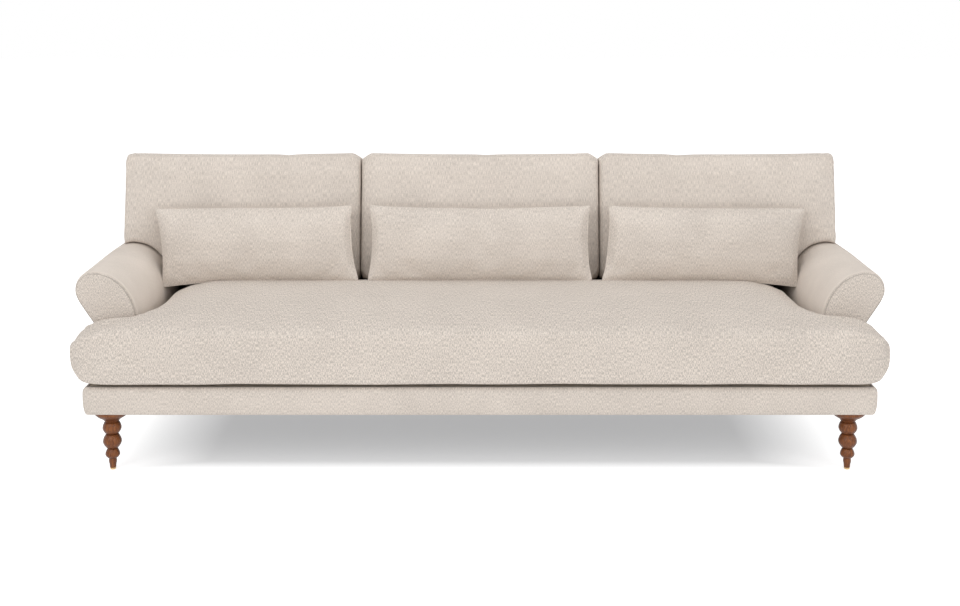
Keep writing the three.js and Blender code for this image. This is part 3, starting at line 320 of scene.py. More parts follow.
class SofaStage(bpy.types.PropertyGroup):
    """Camera, floor and lamps."""

    distance: length("Camera distance", "From the camera to the seat cushion's front", 3.855)
    height: length("Camera height", "Height of the camera above the floor", 1.406)
    pitch: FloatProperty(
        name="Pitch", description="Tilt of the camera, downwards", default=math.radians(5.5), subtype="ANGLE"
    )
    lens: FloatProperty(name="Lens", description="Focal length in millimetres", default=50.0)
    shift: FloatProperty(name="Shift", description="Vertical shift of the picture", default=-0.1771)
    sky: FloatProperty(name="Sky", description="Strength of the even light", default=0.6)
    key: FloatProperty(name="Key lamp", description="Power of the main soft lamp in watts", default=78.0)
    fill: FloatProperty(name="Fill lamp", description="Power of the second soft lamp in watts", default=58.0)
    top: FloatProperty(name="Top lamp", description="Power of the lamp overhead in watts", default=34.0)
    floor: colour("Floor", "Colour of the floor", (0.72, 0.72, 0.72))
    # The near glow is the floor's light inside its painted shadow under the sofa
    near_glow: FloatProperty(name="Near glow", description="Light of the floor at the sofa", default=0.33)
    far_glow: FloatProperty(name="Far glow", description="Light of the floor far away", default=0.75)


# Shader graphs

class Graph:
    """Short ways to add and link shader nodes."""

    def __init__(self, tree):
        self.tree = tree

    def node(self, kind, inputs=None, **settings):
        made = self.tree.nodes.new(kind)
        for name, value in settings.items():
            setattr(made, name, value)
        self.feed_all(inputs or {}, made)
        return made

    def feed(self, value, socket):
        if isinstance(value, bpy.types.NodeSocket):
            self.tree.links.new(value, socket)
        else:
            socket.default_value = value

    def feed_all(self, inputs, node):
        for socket, value in inputs.items():
            self.feed(value, node.inputs[socket])

    def group(self, name, make, inputs):
        """The outputs of a shared shader group, which is built when it is first asked for."""
        tree = bpy.data.node_groups.get(name) or make()
        return self.node("ShaderNodeGroup", inputs, node_tree=tree).outputs

    def split(self, vector):
        return self.node("ShaderNodeSeparateXYZ", {0: vector}).outputs

    def joined(self, *parts):
        return self.node("ShaderNodeCombineXYZ", dict(enumerate(parts))).outputs[0]

    def maths(self, operation, *values, clamp=False):
        made = self.node("ShaderNodeMath", dict(enumerate(values)), operation=operation, use_clamp=clamp)
        return made.outputs[0]

    def blend(self, a, b, share):
        """A share of one value and the rest of another."""
        return self.maths("ADD", self.maths("MULTIPLY", a, share), self.maths("MULTIPLY", b, 1 - share))

    def mix_value(self, factor, a, b):
        return self.node("ShaderNodeMix", {0: factor, 2: a, 3: b}).outputs[0]

    def mix_colour(self, factor, a, b):
        return self.node("ShaderNodeMix", {0: factor, 6: a, 7: b}, data_type="RGBA").outputs[2]

    def tinted(self, colour, mask, share, rgb):
        """A colour turned towards another where a mask lies, by a share of the mask."""
        return self.mix_colour(self.maths("MULTIPLY", mask, share), colour, opaque(rgb))

    def noise(self, vector, scale, detail=2.0, roughness=0.5):
        inputs = {"Vector": vector, "Scale": scale, "Detail": detail, "Roughness": roughness}
        return self.node("ShaderNodeTexNoise", inputs).outputs["Fac"]

    def stretch(self, value, low, high):
        """0 at low, 1 at high and cut off beyond them."""
        return self.node("ShaderNodeMapRange", {0: value, 1: low, 2: high}).outputs[0]


def node_group(name, inputs, outputs):
    """A new shader group with its sockets: its tree, its graph, what it is given and its output node."""
    tree = bpy.data.node_groups.new(name, "ShaderNodeTree")
    for direction, sockets in (("INPUT", inputs), ("OUTPUT", outputs)):
        for label in sockets:
            kind = "NodeSocketVector" if label in ("Place", "Facing") else "NodeSocketFloat"
            tree.interface.new_socket(name=label, in_out=direction, socket_type=kind)
    graph = Graph(tree)
    return tree, graph, graph.node("NodeGroupInput").outputs, graph.node("NodeGroupOutput")


def weave_group():
    """A plain weave laid flat on whichever way a surface faces, with flecks and slubs in its yarns."""
    tree, graph, given, result = node_group(
        "woven_cloth",
        ("Place", "Facing", "Yarn", "Fleck", "Slub Width", "Slub Length"),
        ("Relief", "Fleck", "Gap"),
    )
    x, y, z = graph.split(given["Place"])
    nx, ny, nz = (graph.maths("ABSOLUTE", part) for part in graph.split(given["Facing"]))
    sideways = graph.maths("GREATER_THAN", nx, graph.maths("MAXIMUM", ny, nz))
    upwards = graph.maths("GREATER_THAN", nz, graph.maths("MAXIMUM", nx, ny))
    across = graph.mix_value(sideways, x, y)
    along = graph.mix_value(upwards, z, y)
    lengthwise = graph.mix_value(upwards, z, graph.maths("MULTIPLY", y, LEVEL_RUN))

    def laid(width, height):
        return graph.joined(graph.maths("DIVIDE", across, width), graph.maths("DIVIDE", lengthwise, height))

    yarns = (graph.maths("DIVIDE", way, given["Yarn"]) for way in (across, along))
    warp, weft = (graph.maths("SINE", graph.maths("MULTIPLY", yarn, math.pi)) for yarn in yarns)
    over = graph.maths("GREATER_THAN", graph.maths("MULTIPLY", warp, weft), 0.0)
    height = graph.mix_value(over, graph.maths("ABSOLUTE", weft), graph.maths("ABSOLUTE", warp))
    narrow, long = given["Slub Width"], given["Slub Length"]
    upright = graph.noise(laid(narrow, long), scale=1.0, detail=1.0)
    level = graph.noise(laid(long, narrow), scale=1.0, detail=1.0)
    fibre = graph.noise(laid(given["Fleck"], given["Fleck"]), scale=1.0, detail=3.0, roughness=0.65)
    mixed = graph.blend(graph.blend(upright, level, UPRIGHT_SHARE), fibre, SLUB_SHARE)
    fleck = graph.stretch(mixed, low=0.36, high=0.64)
    gap = graph.maths("SUBTRACT", 1.0, height, clamp=True)
    graph.feed_all({"Relief": graph.blend(height, fleck, YARN_SHARE), "Fleck": fleck, "Gap": gap}, result)
    return tree


def grain_group():
    """Wood grain that runs along Z: long streaks, pores and broad changes of tone."""
    tree, graph, given, result = node_group("wood_grain", ("Place", "Ring", "Run"), ("Grain", "Pore", "Tone"))
    sizes = (given["Ring"], given["Ring"], given["Run"])
    places = zip(graph.split(given["Place"]), sizes)
    laid = graph.joined(*(graph.maths("DIVIDE", part, size) for part, size in places))
    wander = graph.noise(laid, scale=0.35)
    bands = graph.maths("SINE", graph.maths("MULTIPLY", wander, BAND_TURNS))
    streaks = graph.noise(laid, scale=2.4, detail=4.0, roughness=0.6)
    grain = graph.maths("ADD", graph.maths("MULTIPLY", bands, BAND_SHARE), streaks)
    graph.feed_all({
        "Grain": graph.stretch(grain, low=0.25, high=0.85),
        "Pore": graph.stretch(graph.noise(laid, scale=9.0), low=0.62, high=0.72),
        "Tone": graph.stretch(graph.noise(laid, scale=0.2, detail=1.0), low=0.35, high=0.65),
    }, result)
    return tree


def wear_and_shade_group():
    """Masks from the shape itself: rubbed edges, hollows for painted shade, and fine scratches."""
    tree, graph, given, result = node_group("edge_wear", ("Place", "Scratch"), ("Edge", "Hollow", "Scratch"))
    place = given["Place"]
    bend = graph.node("ShaderNodeNewGeometry").outputs["Pointiness"]
    patchy = graph.stretch(graph.noise(place, scale=60.0, detail=3.0), low=0.35, high=0.6)
    scratches = graph.noise(place, given["Scratch"], detail=4.0, roughness=0.7)
    graph.feed_all({
        "Edge": graph.maths("MULTIPLY", graph.stretch(bend, low=0.52, high=0.6), patchy),
        "Hollow": graph.stretch(bend, low=0.49, high=0.42),
        "Scratch": graph.stretch(scratches, low=0.45, high=0.7),
    }, result)
    return tree


def opaque(rgb):
    return (*rgb, 1.0)


def new_material(name):
    """A material with its graph, its Principled shader and the places on the piece."""
    material = bpy.data.materials.new(name)
    material.use_nodes = True
    graph = Graph(material.node_tree)
    shader = material.node_tree.nodes["Principled BSDF"]
    return material, graph, shader, graph.node("ShaderNodeTexCoord").outputs


def bumped(graph, height, distance):
    return graph.node("ShaderNodeBump", {"Height": height, "Distance": distance}).outputs[0]


def cloth_material(name, cloth, contrast, light, dark, shade, yarn=None, run=1.0):
    """A matt woven cloth. contrast sets how strongly yarns differ, and run how long their slubs are."""
    material, graph, shader, where = new_material(name)
    weave = graph.group("woven_cloth", weave_group, {
        "Place": where["Object"],
        "Facing": where["Normal"],
        "Yarn": yarn or cloth.yarn,
        "Fleck": cloth.fleck,
        "Slub Width": cloth.slub_width,
        "Slub Length": cloth.slub_length * run,
    })
    tone = graph.stretch(graph.noise(where["Object"], scale=7.0), low=0.3, high=0.7)
    flecked = graph.maths("MULTIPLY_ADD", weave["Fleck"], contrast, 0.5 - contrast / 2)
    centred = graph.maths("SUBTRACT", flecked, TONE_SHARE / 2)
    amount = graph.maths("MULTIPLY_ADD", tone, TONE_SHARE, centred, clamp=True)
    mottled = graph.mix_colour(amount, opaque(dark), opaque(light))
    graph.feed_all({
        # Painted shade: the gaps between yarns are darkened towards the depth colour
        "Base Color": graph.tinted(mottled, weave["Gap"], GAP_SHADE_SHARE, shade),
        "Roughness": graph.maths("MULTIPLY_ADD", weave["Gap"], GAP_ROUGH, CLOTH_ROUGH),
        "Sheen Weight": 0.1,
        "Sheen Roughness": 0.6,
        "Specular IOR Level": 0.15,
        "Normal": bumped(graph, weave["Relief"], cloth.bump),
    }, shader)
    return material


def linen(settings, name):
    """One of the sofa's linens, made once."""
    cloth = settings.sofa_cloth
    contrast, paler, run = LINENS[name]
    colours = [[min(1, part * paler) for part in rgb] for rgb in (cloth.light, cloth.dark, cloth.shade)]
    return bpy.data.materials.get(name) or cloth_material(name, cloth, contrast, *colours, run=run)


def dust_cloth(settings):
    """The black cloth under the frame, made once. On the top of the band it is painted shade."""
    name = "dust_cloth"
    return bpy.data.materials.get(name) or cloth_material(name, settings.sofa_cloth, *BLACK_CLOTH)


def wood_material(name, light, dark, ring, run, rough, coat=0.0):
    """Grained wood, rubbed at its edges. Painted shade darkens it where it turns away from the view and in its
    hollows.
    """
    material, graph, shader, where = new_material(name)
    place = where["Object"]
    grain = graph.group("wood_grain", grain_group, {"Place": place, "Ring": ring, "Run": run})
    wear_and_shade = graph.group("edge_wear", wear_and_shade_group, {"Place": place, "Scratch": WOOD_SCRATCH})
    pale = [min(1.0, part * RUBBED_GAIN) for part in light]
    colour = graph.mix_colour(grain["Grain"], opaque(dark), opaque(light))
    for mask, share, rgb in (
        (grain["Tone"], 0.25, light),
        (grain["Pore"], 0.5, dark),
        # Painted shade: hollows, such as the necks between beads, are darkened towards the dark wood
        (wear_and_shade["Hollow"], 0.85, dark),
        (wear_and_shade["Edge"], 0.45, pale),
    ):
        colour = graph.tinted(colour, mask, share, rgb)
    # Painted shade: coated wood is turned towards its dark colour where its surface turns away from the view
    turned = graph.node("ShaderNodeLayerWeight", {"Blend": 0.5}).outputs["Facing"]
    painted_edge_shade = min(1, coat * EDGE_SHADE_GAIN)
    graph.feed_all({
        "Base Color": graph.tinted(colour, graph.maths("POWER", turned, EDGE_SHADE_POWER), painted_edge_shade, dark),
        "Roughness": graph.maths("MULTIPLY_ADD", wear_and_shade["Scratch"], WOOD_ROUGH, rough),
        "Specular IOR Level": 0.25,
        "Coat Weight": coat,
        "Coat Roughness": 0.2,
        "Normal": bumped(graph, graph.maths("SUBTRACT", grain["Grain"], grain["Pore"]), WOOD_RELIEF),
    }, shader)
    return material


def metal_material(name, rgb, rough):
    """Bare metal with fine scratches that dull it."""
    material, graph, shader, where = new_material(name)
    wear_and_shade = graph.group("edge_wear", wear_and_shade_group, {"Place": where["Object"], "Scratch": METAL_SCRATCH})
    scratch = wear_and_shade["Scratch"]
    graph.feed_all({
        "Base Color": graph.tinted(opaque(rgb), scratch, DULL_SHARE, [part * DULL_GAIN for part in rgb]),
        "Metallic": 1.0,
        "Roughness": graph.maths("MULTIPLY_ADD", scratch, METAL_ROUGH, rough),
        "Normal": bumped(graph, scratch, METAL_RELIEF),
    }, shader)
    return material


def paint(obj, material):
    obj.data.materials.clear()
    obj.data.materials.append(material)


# Mesh helpers

def new_piece(name, mesh, material, smooth=True):
    obj = bpy.data.objects.new(name, mesh)
    bpy.context.scene.collection.objects.link(obj)
    if smooth:
        mesh.shade_smooth()
    paint(obj, material)
    return obj


def node_mesh(node, join=JOIN_DISTANCE):
    """The CAD node's mesh with its corners joined."""
    work = bmesh.new()
    work.from_mesh(frame["nodes"][node].data)
    bmesh.ops.remove_doubles(work, verts=work.verts, dist=join)
    return work


def copied_mesh(node, name, join=JOIN_DISTANCE):
    """A copy of the CAD node's mesh with its triangles paired into quads."""
    mesh = bpy.data.meshes.new(name)
    work = node_mesh(node, join)
    bmesh.ops.join_triangles(
        work, faces=work.faces, angle_face_threshold=FLAT_ANGLE, angle_shape_threshold=SQUARE_ANGLE
    )
    work.to_mesh(mesh)
    work.free()
    return mesh


def modified(obj, kind, **settings):
    """Adds a modifier to an object and keeps only its result."""
    modifier = obj.modifiers.new(kind.title(), kind)
    for name, value in settings.items():
        setattr(modifier, name, value)
    bake(obj)
    return obj


def subdivided(obj, levels):
    return modified(obj, "SUBSURF", levels=levels, render_levels=levels)


def fitted(obj, levels):
    """Subdivides a mesh into a smooth surface that still passes through its corners."""
    mesh = obj.data
    goals = [vertex.co.copy() for vertex in mesh.vertices]
    smooth = obj.modifiers.new("Fit", "SUBSURF")
    smooth.levels = 1
    for _ in range(FIT_PASSES):
        depsgraph = bpy.context.evaluated_depsgraph_get()
        depsgraph.update()
        trial = obj.evaluated_get(depsgraph).data
        misses = [goal - trial.vertices[k].co for k, goal in enumerate(goals)]
        for vertex, miss in zip(mesh.vertices, misses):
            vertex.co += miss
        mesh.update()
    obj.modifiers.clear()
    return subdivided(obj, levels)


def bake(obj):
    depsgraph = bpy.context.evaluated_depsgraph_get()
    result = bpy.data.meshes.new_from_object(obj.evaluated_get(depsgraph))
    obj.modifiers.clear()
    old = obj.data
    obj.data = result
    bpy.data.meshes.remove(old)


def tree_of(meshes):
    """A search tree over several meshes that share the frame's place."""
    points, faces = [], []
    for mesh in meshes:
        first = len(points)
        points.extend(vertex.co for vertex in mesh.vertices)
        faces.extend([first + k for k in face.vertices] for face in mesh.polygons)
    return BVHTree.FromPolygons(points, faces)


def shown_tree(nodes):
    """A search tree over the pieces that stand for nodes, or over the nodes that have none yet."""
    pieces = [bpy.data.objects.get(f"{node}_dressed") or frame["nodes"][node] for node in nodes]
    return tree_of([piece.data for piece in pieces])


def outside_by(tree, point):
    """The nearest place on closed surfaces, its way out, and how far outside them the point lies."""
    place, normal, _, distance = tree.find_nearest(point)
    outward = (point - place).dot(normal) > 0
    return place, normal, distance if outward else -distance


def keep_inside(obj, tree, proud):
    """Moves points that stand further out of a solid than proud back to that height."""
    for vertex in obj.data.vertices:
        place, normal, distance = outside_by(tree, vertex.co)
        if distance > proud:
            vertex.co = place + (vertex.co - place) * (proud / distance)
    obj.data.update()


def keep_off(obj, tree, gap):
    """Moves points that lie inside the neighbours, or nearer than a gap, clear of them."""
    for vertex in obj.data.vertices:
        place, normal, distance = outside_by(tree, vertex.co)
        if -DEEPEST < distance < gap:
            vertex.co = place + normal * gap
    obj.data.update()


def snug(obj, tree, reach):
    """Draws points that are nearer to the neighbours than reach closer to them."""
    for vertex in obj.data.vertices:
        place, normal, distance = outside_by(tree, vertex.co)
        if 0 < distance < reach:
            vertex.co = place + (vertex.co - place) * (distance / reach) ** 2
    obj.data.update()


def clamped(value):
    return min(1, max(0, value))


def span(values):
    """The least and the greatest of some values."""
    values = list(values)
    return min(values), max(values)


def circle(count):
    """The cosine and sine of even steps round a circle."""
    turns = [2 * math.pi * k / count for k in range(count)]
    return [(math.cos(turn), math.sin(turn)) for turn in turns]


def eased(value, low, high):
    """0 below low, 1 above high, and a smooth change between them."""
    share = clamped((value - low) / (high - low))
    return share * share * (3 - 2 * share)


def past(value, edge, stretch):
    """How far a value has come, eased, through a stretch that is measured from an edge."""
    return eased(value, edge + stretch[0], edge + stretch[1])


def reshape(obj, move):
    """Moves every point of a mesh by a rule."""
    for vertex in obj.data.vertices:
        vertex.co = move(vertex.co)
    obj.data.update()


def facing(node):
    """The way that the front of a leaning cushion turns."""
    total = Vector()
    work = node_mesh(node)
    for face in work.faces:
        if face.normal.y < 0:
            total += face.normal * face.calc_area()
    work.free()
    return total.normalized()


def border(node, way, least):
    """The closed chain of points round the node's faces that turn towards a way."""
    work = node_mesh(node)
    region = {face for face in work.faces if face.normal.dot(way) > least}
    edges = {edge for face in region for edge in face.edges if not region.issuperset(edge.link_faces)}
    chains = []
    while edges:
        edge = min(edges, key=lambda item: item.index)
        edges.discard(edge)
        chain = [edge.verts[0], edge.verts[1]]
        while chain[-1] is not chain[0]:
            step = next((item for item in chain[-1].link_edges if item in edges), None)
            if step is None:
                break
            edges.discard(step)
            chain.append(step.other_vert(chain[-1]))
        chains.append([vertex.co.copy() for vertex in chain[:-1]])
    work.free()
    return max(chains, key=len)


def smooth_path(points, spacing, closed=True):
    """A chain of points rounded by curves through them and spaced closely."""
    count = len(points)
    fine = []
    for k in range(count if closed else count - 1):
        if closed:
            p0, p1, p2, p3 = (points[(k + step) % count] for step in (-1, 0, 1, 2))
        else:
            p0, p1, p2, p3 = (points[min(max(k + step, 0), count - 1)] for step in (-1, 0, 1, 2))
        parts = max(1, round((p2 - p1).length / spacing))
        for part in range(parts):
            t = part / parts
            fine.append(0.5 * (
                2 * p1 + (p2 - p0) * t + (2 * p0 - 5 * p1 + 4 * p2 - p3) * t ** 2
                + (3 * p1 - p0 - 3 * p2 + p3) * t ** 3
            ))
    return fine


def relaxed(path, times):
    """A closed path with its kinks evened out."""
    for _ in range(times):
        path = [(path[k - 1] + path[k] * 2 + path[(k + 1) % len(path)]) / 4 for k in range(len(path))]
    return path


def add_tube(work, path, radius, closed=True, ridge=0.0):
    """Adds a round cord along a path of points to a mesh. Ridge swells every second ring."""
    rings = []
    count = len(path)
    normal = None
    for k, point in enumerate(path):
        before = path[k - 1] if closed or k else point
        after = path[(k + 1) % count] if closed or k < count - 1 else point
        tangent = (after - before).normalized()
        if normal is None:
            normal = tangent.orthogonal().normalized()
        normal = (normal - tangent * normal.dot(tangent)).normalized()
        side = tangent.cross(normal)
        size = radius * (1 + ridge * (k % 2))
        places = [point + (normal * cos + side * sin) * size for cos, sin in circle(CORD_SIDES)]
        rings.append([work.verts.new(place) for place in places])
    for k in range(count if closed else count - 1):
        a, b = rings[k], rings[(k + 1) % count]
        shift = 0
        if closed and k == count - 1:
            shift = min(range(CORD_SIDES), key=lambda s: (b[s].co - a[0].co).length)
        for s in range(CORD_SIDES):
            t = (s + 1) % CORD_SIDES
            work.faces.new((a[s], a[t], b[(t + shift) % CORD_SIDES], b[(s + shift) % CORD_SIDES]))
    if not closed:
        work.faces.new(list(reversed(rings[0])))
        work.faces.new(rings[-1])


def built(name, work, material):
    """A new piece from a mesh that is ready."""
    bmesh.ops.recalc_face_normals(work, faces=work.faces)
    mesh = bpy.data.meshes.new(name)
    work.to_mesh(mesh)
    work.free()
    return new_piece(name, mesh, material)


def tube(name, path, radius, material):
    """A closed round cord along a path of points."""
    work = bmesh.new()
    add_tube(work, path, radius)
    return built(name, work, material)


def settled(path, tree, radius):
    """The path laid on a surface, sunk by a share of a cord's radius."""
    laid = []
    for point in path:
        place, normal, _, _ = tree.find_nearest(point)
        laid.append(place + normal * radius * (1 - 2 * CORD_DEPTH))
    return laid


def attach(part, whole):
    """Makes a trim piece go with a piece that already rides on its body."""
    part.parent = whole


def stand_for(obj, node, body="frame"):
    """Puts a dressed piece in the place of its CAD node."""
    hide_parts(node)
    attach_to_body(obj, body)


# Cushions

def ripple(obj, cushions, offset):
    """Moves the cover in and out a little, as uneven stuffing does."""
    mesh = obj.data
    ways = [vertex.normal.copy() for vertex in mesh.vertices]
    for vertex, way in zip(mesh.vertices, ways):
        height = noise.noise(vertex.co / cushions.ripple_size + offset)
        vertex.co += way * (height - RIPPLE_SINK) * cushions.ripple
    mesh.update()


def pin_seams(obj, seams, reach):
    """A vertex group that is full on the seams and fades beside them."""
    points = [point for seam in seams for point in smooth_path(seam, PIN_SPACING)]
    tree = KDTree(len(points))
    for number, point in enumerate(points):
        tree.insert(point, number)
    tree.balance()
    group = obj.vertex_groups.new(name="seam")
    for vertex in obj.data.vertices:
        held = 1 - tree.find(vertex.co)[2] / reach
        if held > 0:
            group.add([vertex.index], min(1, held * HOLD_GAIN), "REPLACE")


def blow_up(obj, cushions, seams):
    """Runs the cloth under pressure and keeps its result, with each point's move capped."""
    start = [vertex.co.copy() for vertex in obj.data.vertices]
    pin_seams(obj, seams, cushions.pin_reach)
    cloth = obj.modifiers.new("Cloth", "CLOTH")
    settings = cloth.settings
    settings.quality = CLOTH_QUALITY
    settings.mass = CLOTH_MASS
    settings.vertex_group_mass = "seam"
    settings.shrink_min = -cushions.slack
    settings.use_pressure = True
    settings.uniform_pressure_force = cushions.pressure
    settings.effector_weights.gravity = 0
    cloth.point_cache.frame_start = 1
    cloth.point_cache.frame_end = cushions.frames
    scene = bpy.context.scene
    for step in range(1, cushions.frames + 1):
        scene.frame_set(step)
    bake(obj)
    scene.frame_set(1)
    for vertex, first in zip(obj.data.vertices, start):
        move = vertex.co - first
        if move.length > cushions.cap:
            vertex.co = first + move.normalized() * cushions.cap
    obj.data.update()


def stuff(node, material, cushions, seams, beside, shape=None, reach=0, join=JOIN_DISTANCE):
    """Fills a cover: the CAD solid's shape, rounded, rippled, blown up as cloth and kept clear."""
    name = f"{node}_dressed"
    obj = fitted(new_piece(name, copied_mesh(node, name, join), material), COVER_LEVELS)
    ripple(obj, cushions, Vector((len(node), *RIPPLE_START)))
    blow_up(obj, cushions, seams)
    subdivided(obj, 1)
    keep_inside(obj, tree_of([frame["nodes"][node].data]), cushions.proud)
    if shape:
        reshape(obj, shape)
    neighbours = shown_tree(beside)
    if reach:
        snug(obj, neighbours, reach)
    keep_off(obj, neighbours, cushions.gap)
    modified(obj, "SMOOTH", factor=0.5, iterations=SMOOTH_PASSES)
    keep_off(obj, neighbours, cushions.gap)
    obj.data.shade_smooth()
    paint(obj, material)
    return obj


def sew(obj, seams, cushions, material, shape=None):
    """Fine ridges where the cover's panels meet."""
    tree = tree_of([obj.data])
    radius = cushions.seam_radius
    for number, seam in enumerate(seams, 1):
        line = relaxed(smooth_path(seam, SEAM_SPACING), times=3)
        path = settled([shape(point) if shape else point for point in line], tree, radius)
        attach(tube(f"{obj.name}_seam_{number}", path, radius, material), obj)


def zip_path(obj, way, up, height):
    """Places with their way out along the back of a cushion, at a height above its foot."""
    tree = tree_of([obj.data])
    points = [vertex.co for vertex in obj.data.vertices]
    left, right = span(point.x for point in points)
    level = min(point.dot(up) for point in points) + height
    back = max(point.dot(-way) for point in points) + ZIP_SIDE
    runs = [[]]
    for k in range(round((right - left) / ZIP_TOOTH)):
        start = Vector((left + k * ZIP_TOOTH, 0, 0)) + up * level - way * back
        place, normal, _, _ = tree.ray_cast(start, way, ZIP_SIDE * 2)
        if place and normal.dot(-way) > ZIP_FLAT:
            runs[-1].append((place, normal))
        elif runs[-1]:
            runs.append([])
    ends = round(ZIP_SIDE / ZIP_TOOTH)
    path = max(runs, key=len)[ends:-ends]
    if len(path) < ZIP_LEAST:
        raise ValueError(f"{obj.name} has no room for its zip")
    return path


def zip_tape(path):
    """The flat tape of a zip, which lies on the cloth with its edges sunk in."""
    work = bmesh.new()
    profile = ((-1, -TAPE_SINK), (-TAPE_FLAT, TAPE_RISE), (TAPE_FLAT, TAPE_RISE), (1, -TAPE_SINK))
    rows = []
    for place, normal in path:
        side = normal.cross(ACROSS).normalized()
        spots = [place + side * (ZIP_TAPE * share) + normal * out for share, out in profile]
        rows.append([work.verts.new(spot) for spot in spots])
    for a, b in zip(rows, rows[1:]):
        for k in range(len(profile) - 1):
            work.faces.new((a[k], a[k + 1], b[k + 1], b[k]))
    return work


def zip_teeth(path):
    """The teeth of a zip, and near its end the slider with a ring."""
    work = bmesh.new()
    add_tube(work, [place for place, _ in path], ZIP_TEETH, closed=False, ridge=TEETH_RIDGE)
    slider = [place for place, _ in path[SLIDER_TEETH]]
    add_tube(work, slider, ZIP_TEETH * SLIDER_SIZE, closed=False, ridge=SLIDER_RIDGE)
    place, normal = path[RING_TOOTH]
    across = normal.cross(ACROSS).normalized()
    centre = place + normal * ZIP_TEETH * 2
    long, wide = RING_HALF
    ring = [
        centre + Vector((long * (1 + cos), 0, 0)) + across * wide * sin for cos, sin in circle(RING_POINTS)
    ]
    add_tube(work, ring, ZIP_TEETH / 2)
    return work


def add_zip(obj, settings, up, height):
    """A zip across the hidden back of a cushion."""
    path = zip_path(obj, Vector((0, -up.z, up.y)), up, height)
    tape = built(f"{obj.name}_zip_tape", zip_tape(path), linen(settings, "zip_tape"))
    attach(tape, obj)
    teeth = built(f"{obj.name}_zip", zip_teeth(path), bpy.data.materials["zinc_steel"])
    attach(teeth, obj)


def add_cushion(settings, node, linen_name, seams, beside, shape, fill, up, zip_height, **fit):
    """One loose cushion with its seams and its zip, which moves on a body of its own. Fit goes to stuff."""
    cushions = settings.sofa_cushions
    material = linen(settings, linen_name)
    obj = stuff(node, material, cushions, seams, beside, shape, **fit)
    sew(obj, seams, cushions, material, shape)
    add_zip(obj, settings, up, zip_height)
    stand_for(obj, node, node)


def seat_shape(cushions):
    """Lifts the seat's front edge off the band, fills out the ends of its ears and tucks their corners."""
    low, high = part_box("seat_cushion")
    arm_front, arm_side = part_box("left_arm_front_panel")
    inner, end = -arm_side.x, high.x

    def move(point):
        x, y, z = abs(point.x), point.y, point.z
        top = eased(z, low.z, low.z + SEAT_TOP)
        foot = 1 - eased(z, low.z, low.z + SEAT_FOOT)
        front = 1 - past(y, low.y, SEAT_FRONT)
        beside = 1 - past(y, arm_front.y, EAR_BACK)
        out = clamped((x - inner) / (end - inner))
        corner = past(y, arm_front.y, TUCK_START) * (1 - past(y, arm_front.y, TUCK_END))
        corner *= past(x, inner, TUCK_ACROSS)
        ear = cushions.ear_top * top * out ** EAR_TOP_POWER + cushions.ear_foot * foot * out ** EAR_FOOT_POWER
        return point + UP * (cushions.lift * foot * front - cushions.tuck * top * corner + beside * ear)

    return move


def squared(a, b, corner, sewn):
    """Moves a point of a rounded corner, measured from the corner's centre, towards a squarer one."""
    if a <= 0 or b <= 0:
        return a, b
    size = math.hypot(a, b)
    along, up = a / size, b / size
    inset = corner - sewn
    limit = min(corner / along, corner / up)
    if min(along, up) * limit > inset:
        middle = (along + up) * inset
        limit = middle + math.sqrt(max(0, middle * middle - 2 * inset * inset + sewn * sewn))
    return a * limit / corner, b * limit / corner


def slide_axis(node):
    """The way that a cushion's joint moves it."""
    return Vector(next(joint["axis"] for joint in frame["joints"] if joint["child"] == node))


def back_shape(node, cushions):
    """Squares a back cushion's corners and presses its sides against the next cushion's."""
    up = slide_axis(node)
    points = [vertex.co for vertex in frame["nodes"][node].data.vertices]
    left, right = span(point.x for point in points)
    foot, top = span(point.dot(up) for point in points)
    middle_x, middle_up = (left + right) / 2, (foot + top) / 2
    corner = cushions.corner

    def move(point):
        x, rise = point.x - middle_x, point.dot(up) - middle_up
        a, b = abs(x) - (right - left) / 2 + corner, abs(rise) - (top - foot) / 2 + corner
        outer = abs(point.x) > abs(middle_x) and "centre" not in node
        new_a, new_b = a, b
        if rise > 0 or not outer:
            sewn = cushions.inner_corner if rise > 0 and not outer else cushions.sewn_corner
            new_a, new_b = squared(a, b, corner, sewn)
        hollow = corner - new_a
        if outer:
            pressed = 0
        elif hollow < cushions.side:
            share = max(0, hollow) / cushions.side
            pressed = hollow - cushions.pressed * share ** PRESS_POWER - cushions.gap
        else:
            fade = 1 - eased(hollow, cushions.side, cushions.side * PRESS_REACH)
            pressed = (cushions.side - cushions.pressed) * fade
        new_a += max(0, pressed)
        return point + ACROSS * math.copysign(new_a - a, x) + up * math.copysign(new_b - b, rise)

    return move


def pillow_shape(node, cushions):
    """Lets an outer pillow's end hang over the seat's shoulder and lean outwards."""
    low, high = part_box(node)
    inner, outer = span((abs(low.x), abs(high.x)))
    start = inner + (outer - inner) * PILLOW_END

    def move(point):
        end = clamped((abs(point.x) - start) / (outer - start))
        height = (point.z - low.z) / (high.z - low.z)
        drop = cushions.sag * end ** FOOT_POWER * (1 - eased(height, *FOOT_FADE))
        drop += cushions.sag * TOP_DROP * end ** 2 * eased(height, *TOP_FADE)
        lean = cushions.spread * end * clamped(height * LEAN_GAIN)
        return point + Vector((math.copysign(lean, point.x), 0, -drop))

    return move


class SOFA_OT_seat_cushion(bpy.types.Operator):
    """Makes the T-shaped seat cushion"""

    bl_idname = "sofa.seat_cushion"
    bl_label = "Seat Cushion"

    def execute(self, context):
        node = "seat_cushion"
        seams = [border(node, -UP, PANEL_LIMIT)]
        beside = ["seat_deck", "base_band", "inside_back_pad"]
        beside += [f"{side}_arm_{part}" for side in SIDES for part in ("cover", "front_panel")]
        beside += [f"{place}_{kind}" for place in PLACES for kind in ("back_cushion", "lumbar_pillow")]
        shape = seat_shape(context.scene.sofa_cushions)
        add_cushion(
            context.scene, node, "seat_linen", seams, beside, shape, fill=0.75, up=UP, zip_height=0.07
        )
        return {"FINISHED"}


